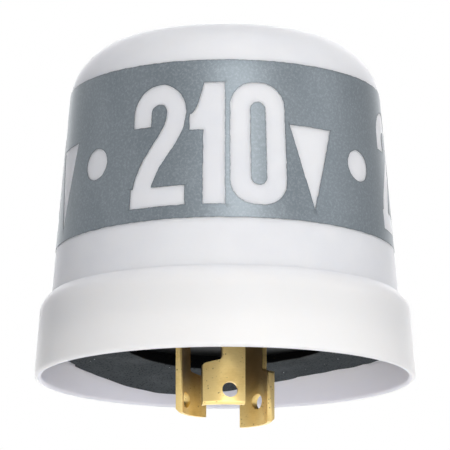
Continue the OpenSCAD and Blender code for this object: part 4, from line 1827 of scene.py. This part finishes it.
@dataclass
class SoftLamp:
    """A square studio lamp that looks at the object."""

    name: str
    place: Triple
    side: float
    power: float
    tint: Triple = (1.0, 1.0, 1.0)
    aim: Triple = (0.0, 0.0, 0.025)

    def build(self) -> None:
        """Hang the lamp."""
        lamp = bpy.data.lights.new(self.name, "AREA")
        lamp.size = self.side
        lamp.energy = self.power
        lamp.color = self.tint
        hung = new_object(self.name, lamp)
        hung.location = self.place
        hung.visible_camera = False
        towards = Vector(self.aim) - Vector(self.place)
        hung.rotation_euler = towards.to_track_quat("-Z", "Y").to_euler()


@dataclass
class Studio:
    """Camera, lamps, pale floor and white surround."""

    camera_place: Triple = (0.0, -1.0, -0.1737)
    camera_pitch: float = 11.42
    lens: float = 374.4
    sensor: float = 36.0
    clip: Point = (0.01, 50.0)
    floor_z: float = -0.4
    floor_side: float = 6.0
    floor_rough: float = 0.9
    floor_glow: float = 0.5
    white: Colour = (1.0, 1.0, 1.0, 1.0)
    ambient: float = 0.115
    ambient_tint: Colour = (0.9, 0.95, 1.2, 1.0)
    floor_colour: Colour = field(default_factory=lambda: srgb(238, 238, 238))
    lamps: list[SoftLamp] = field(
        default_factory=lambda: [
            SoftLamp("key lamp", (0.28, -1.7, 0.62), 0.9, 12.4, (1.0, 0.978, 0.95)),
            SoftLamp("high lamp", (0.1, -0.5, 1.5), 1.0, 10.2),
            SoftLamp("right lamp", (1.5, -0.5, 0.4), 0.9, 2.6),
            SoftLamp("low lamp", (0.1, -1.4, -0.24), 0.4, 2.9),
            SoftLamp("bounce lamp", (0.0, -0.15, -0.38), 0.7, 1.25),
            SoftLamp("rear lamp", (0.0, 1.8, 0.4), 2.0, 22.0),
        ]
    )

    def build(self) -> None:
        """Set up all of it."""
        scene = bpy.context.scene
        scene.view_settings.view_transform = "Standard"
        self.set_camera(scene)
        for lamp in self.lamps:
            lamp.build()
        self.set_floor()
        self.set_surround(scene)

    def set_camera(self, scene: bpy.types.Scene) -> None:
        """Stand the camera in front of the object, a little below it and looking up.

        Args:
            scene: Scene that it serves.
        """
        camera = bpy.data.cameras.new("camera")
        camera.sensor_width = self.sensor
        camera.lens = self.lens
        camera.clip_start, camera.clip_end = self.clip
        stand = new_object("camera", camera)
        stand.location = self.camera_place
        stand.rotation_euler = (math.radians(90 + self.camera_pitch), 0.0, 0.0)
        scene.camera = stand

    def seen(self, graph: Graph) -> Socket:
        """Tell rays that see the surround, by eye, in gloss or through glass, from the others.

        Args:
            graph: Nodes of the surround or the floor.

        Returns:
            One for such a ray, and zero for another.
        """
        rays = graph.add("ShaderNodeLightPath").outputs
        seen = graph.maths("MAXIMUM", rays["Is Camera Ray"], rays["Is Glossy Ray"])
        return graph.maths("MAXIMUM", seen, rays["Is Transmission Ray"])

    def set_floor(self) -> None:
        """Lay the pale floor below the camera."""
        half = self.floor_side / 2 / MM
        height = self.floor_z / MM
        square = ((-half, -half), (half, -half), (half, half), (-half, half))
        floor = new_piece("floor", [(x, y, height) for x, y in square], [], [(0, 1, 2, 3)])
        paint = bpy.data.materials.new("floor paint")
        paint.use_nodes = True
        graph = Graph(paint.node_tree)
        inputs = {
            "Base Color": self.floor_colour,
            "Roughness": self.floor_rough,
            "Emission Color": self.floor_colour,
            "Emission Strength": graph.times(self.seen(graph), self.floor_glow),
        }
        graph.fill(paint.node_tree.nodes["Principled BSDF"], inputs)
        floor.data.materials.append(paint)

    def set_surround(self, scene: bpy.types.Scene) -> None:
        """Make the surround white to the eye and to gloss, and a plain soft light to the rest.

        Args:
            scene: Scene that it surrounds.
        """
        world = bpy.data.worlds.new("surround")
        scene.world = world
        world.use_nodes = True
        world.node_tree.nodes.clear()
        graph = Graph(world.node_tree)
        seen = self.seen(graph)
        strength = graph.between(seen, self.ambient, 1.0)
        tint = graph.blend(seen, self.ambient_tint, self.white)
        light = graph.add("ShaderNodeBackground", {"Color": tint, "Strength": strength})
        graph.add("ShaderNodeOutputWorld", {"Surface": light.outputs[0]})


def main() -> None:
    """Load the frame, build each sub-assembly on it and set the studio."""
    logging.basicConfig(level=logging.INFO, format="%(name)s: %(message)s")
    noise.seed_set(NOISE_SEED)
    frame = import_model()
    nodes = frame["nodes"]
    cover = Cover()
    parts: list[SubAssembly] = [
        cover,
        PrintedBand(cover),
        FoamGasket(cover),
        BladeSet(nodes),
        InnerWorks(nodes),
    ]
    Studio().build()
    for part in parts:
        for piece in part.build():
            LOG.info("%s: %s, %d faces", type(part).__name__, piece.name, len(piece.data.polygons))


if __name__ == "__main__":
    main()
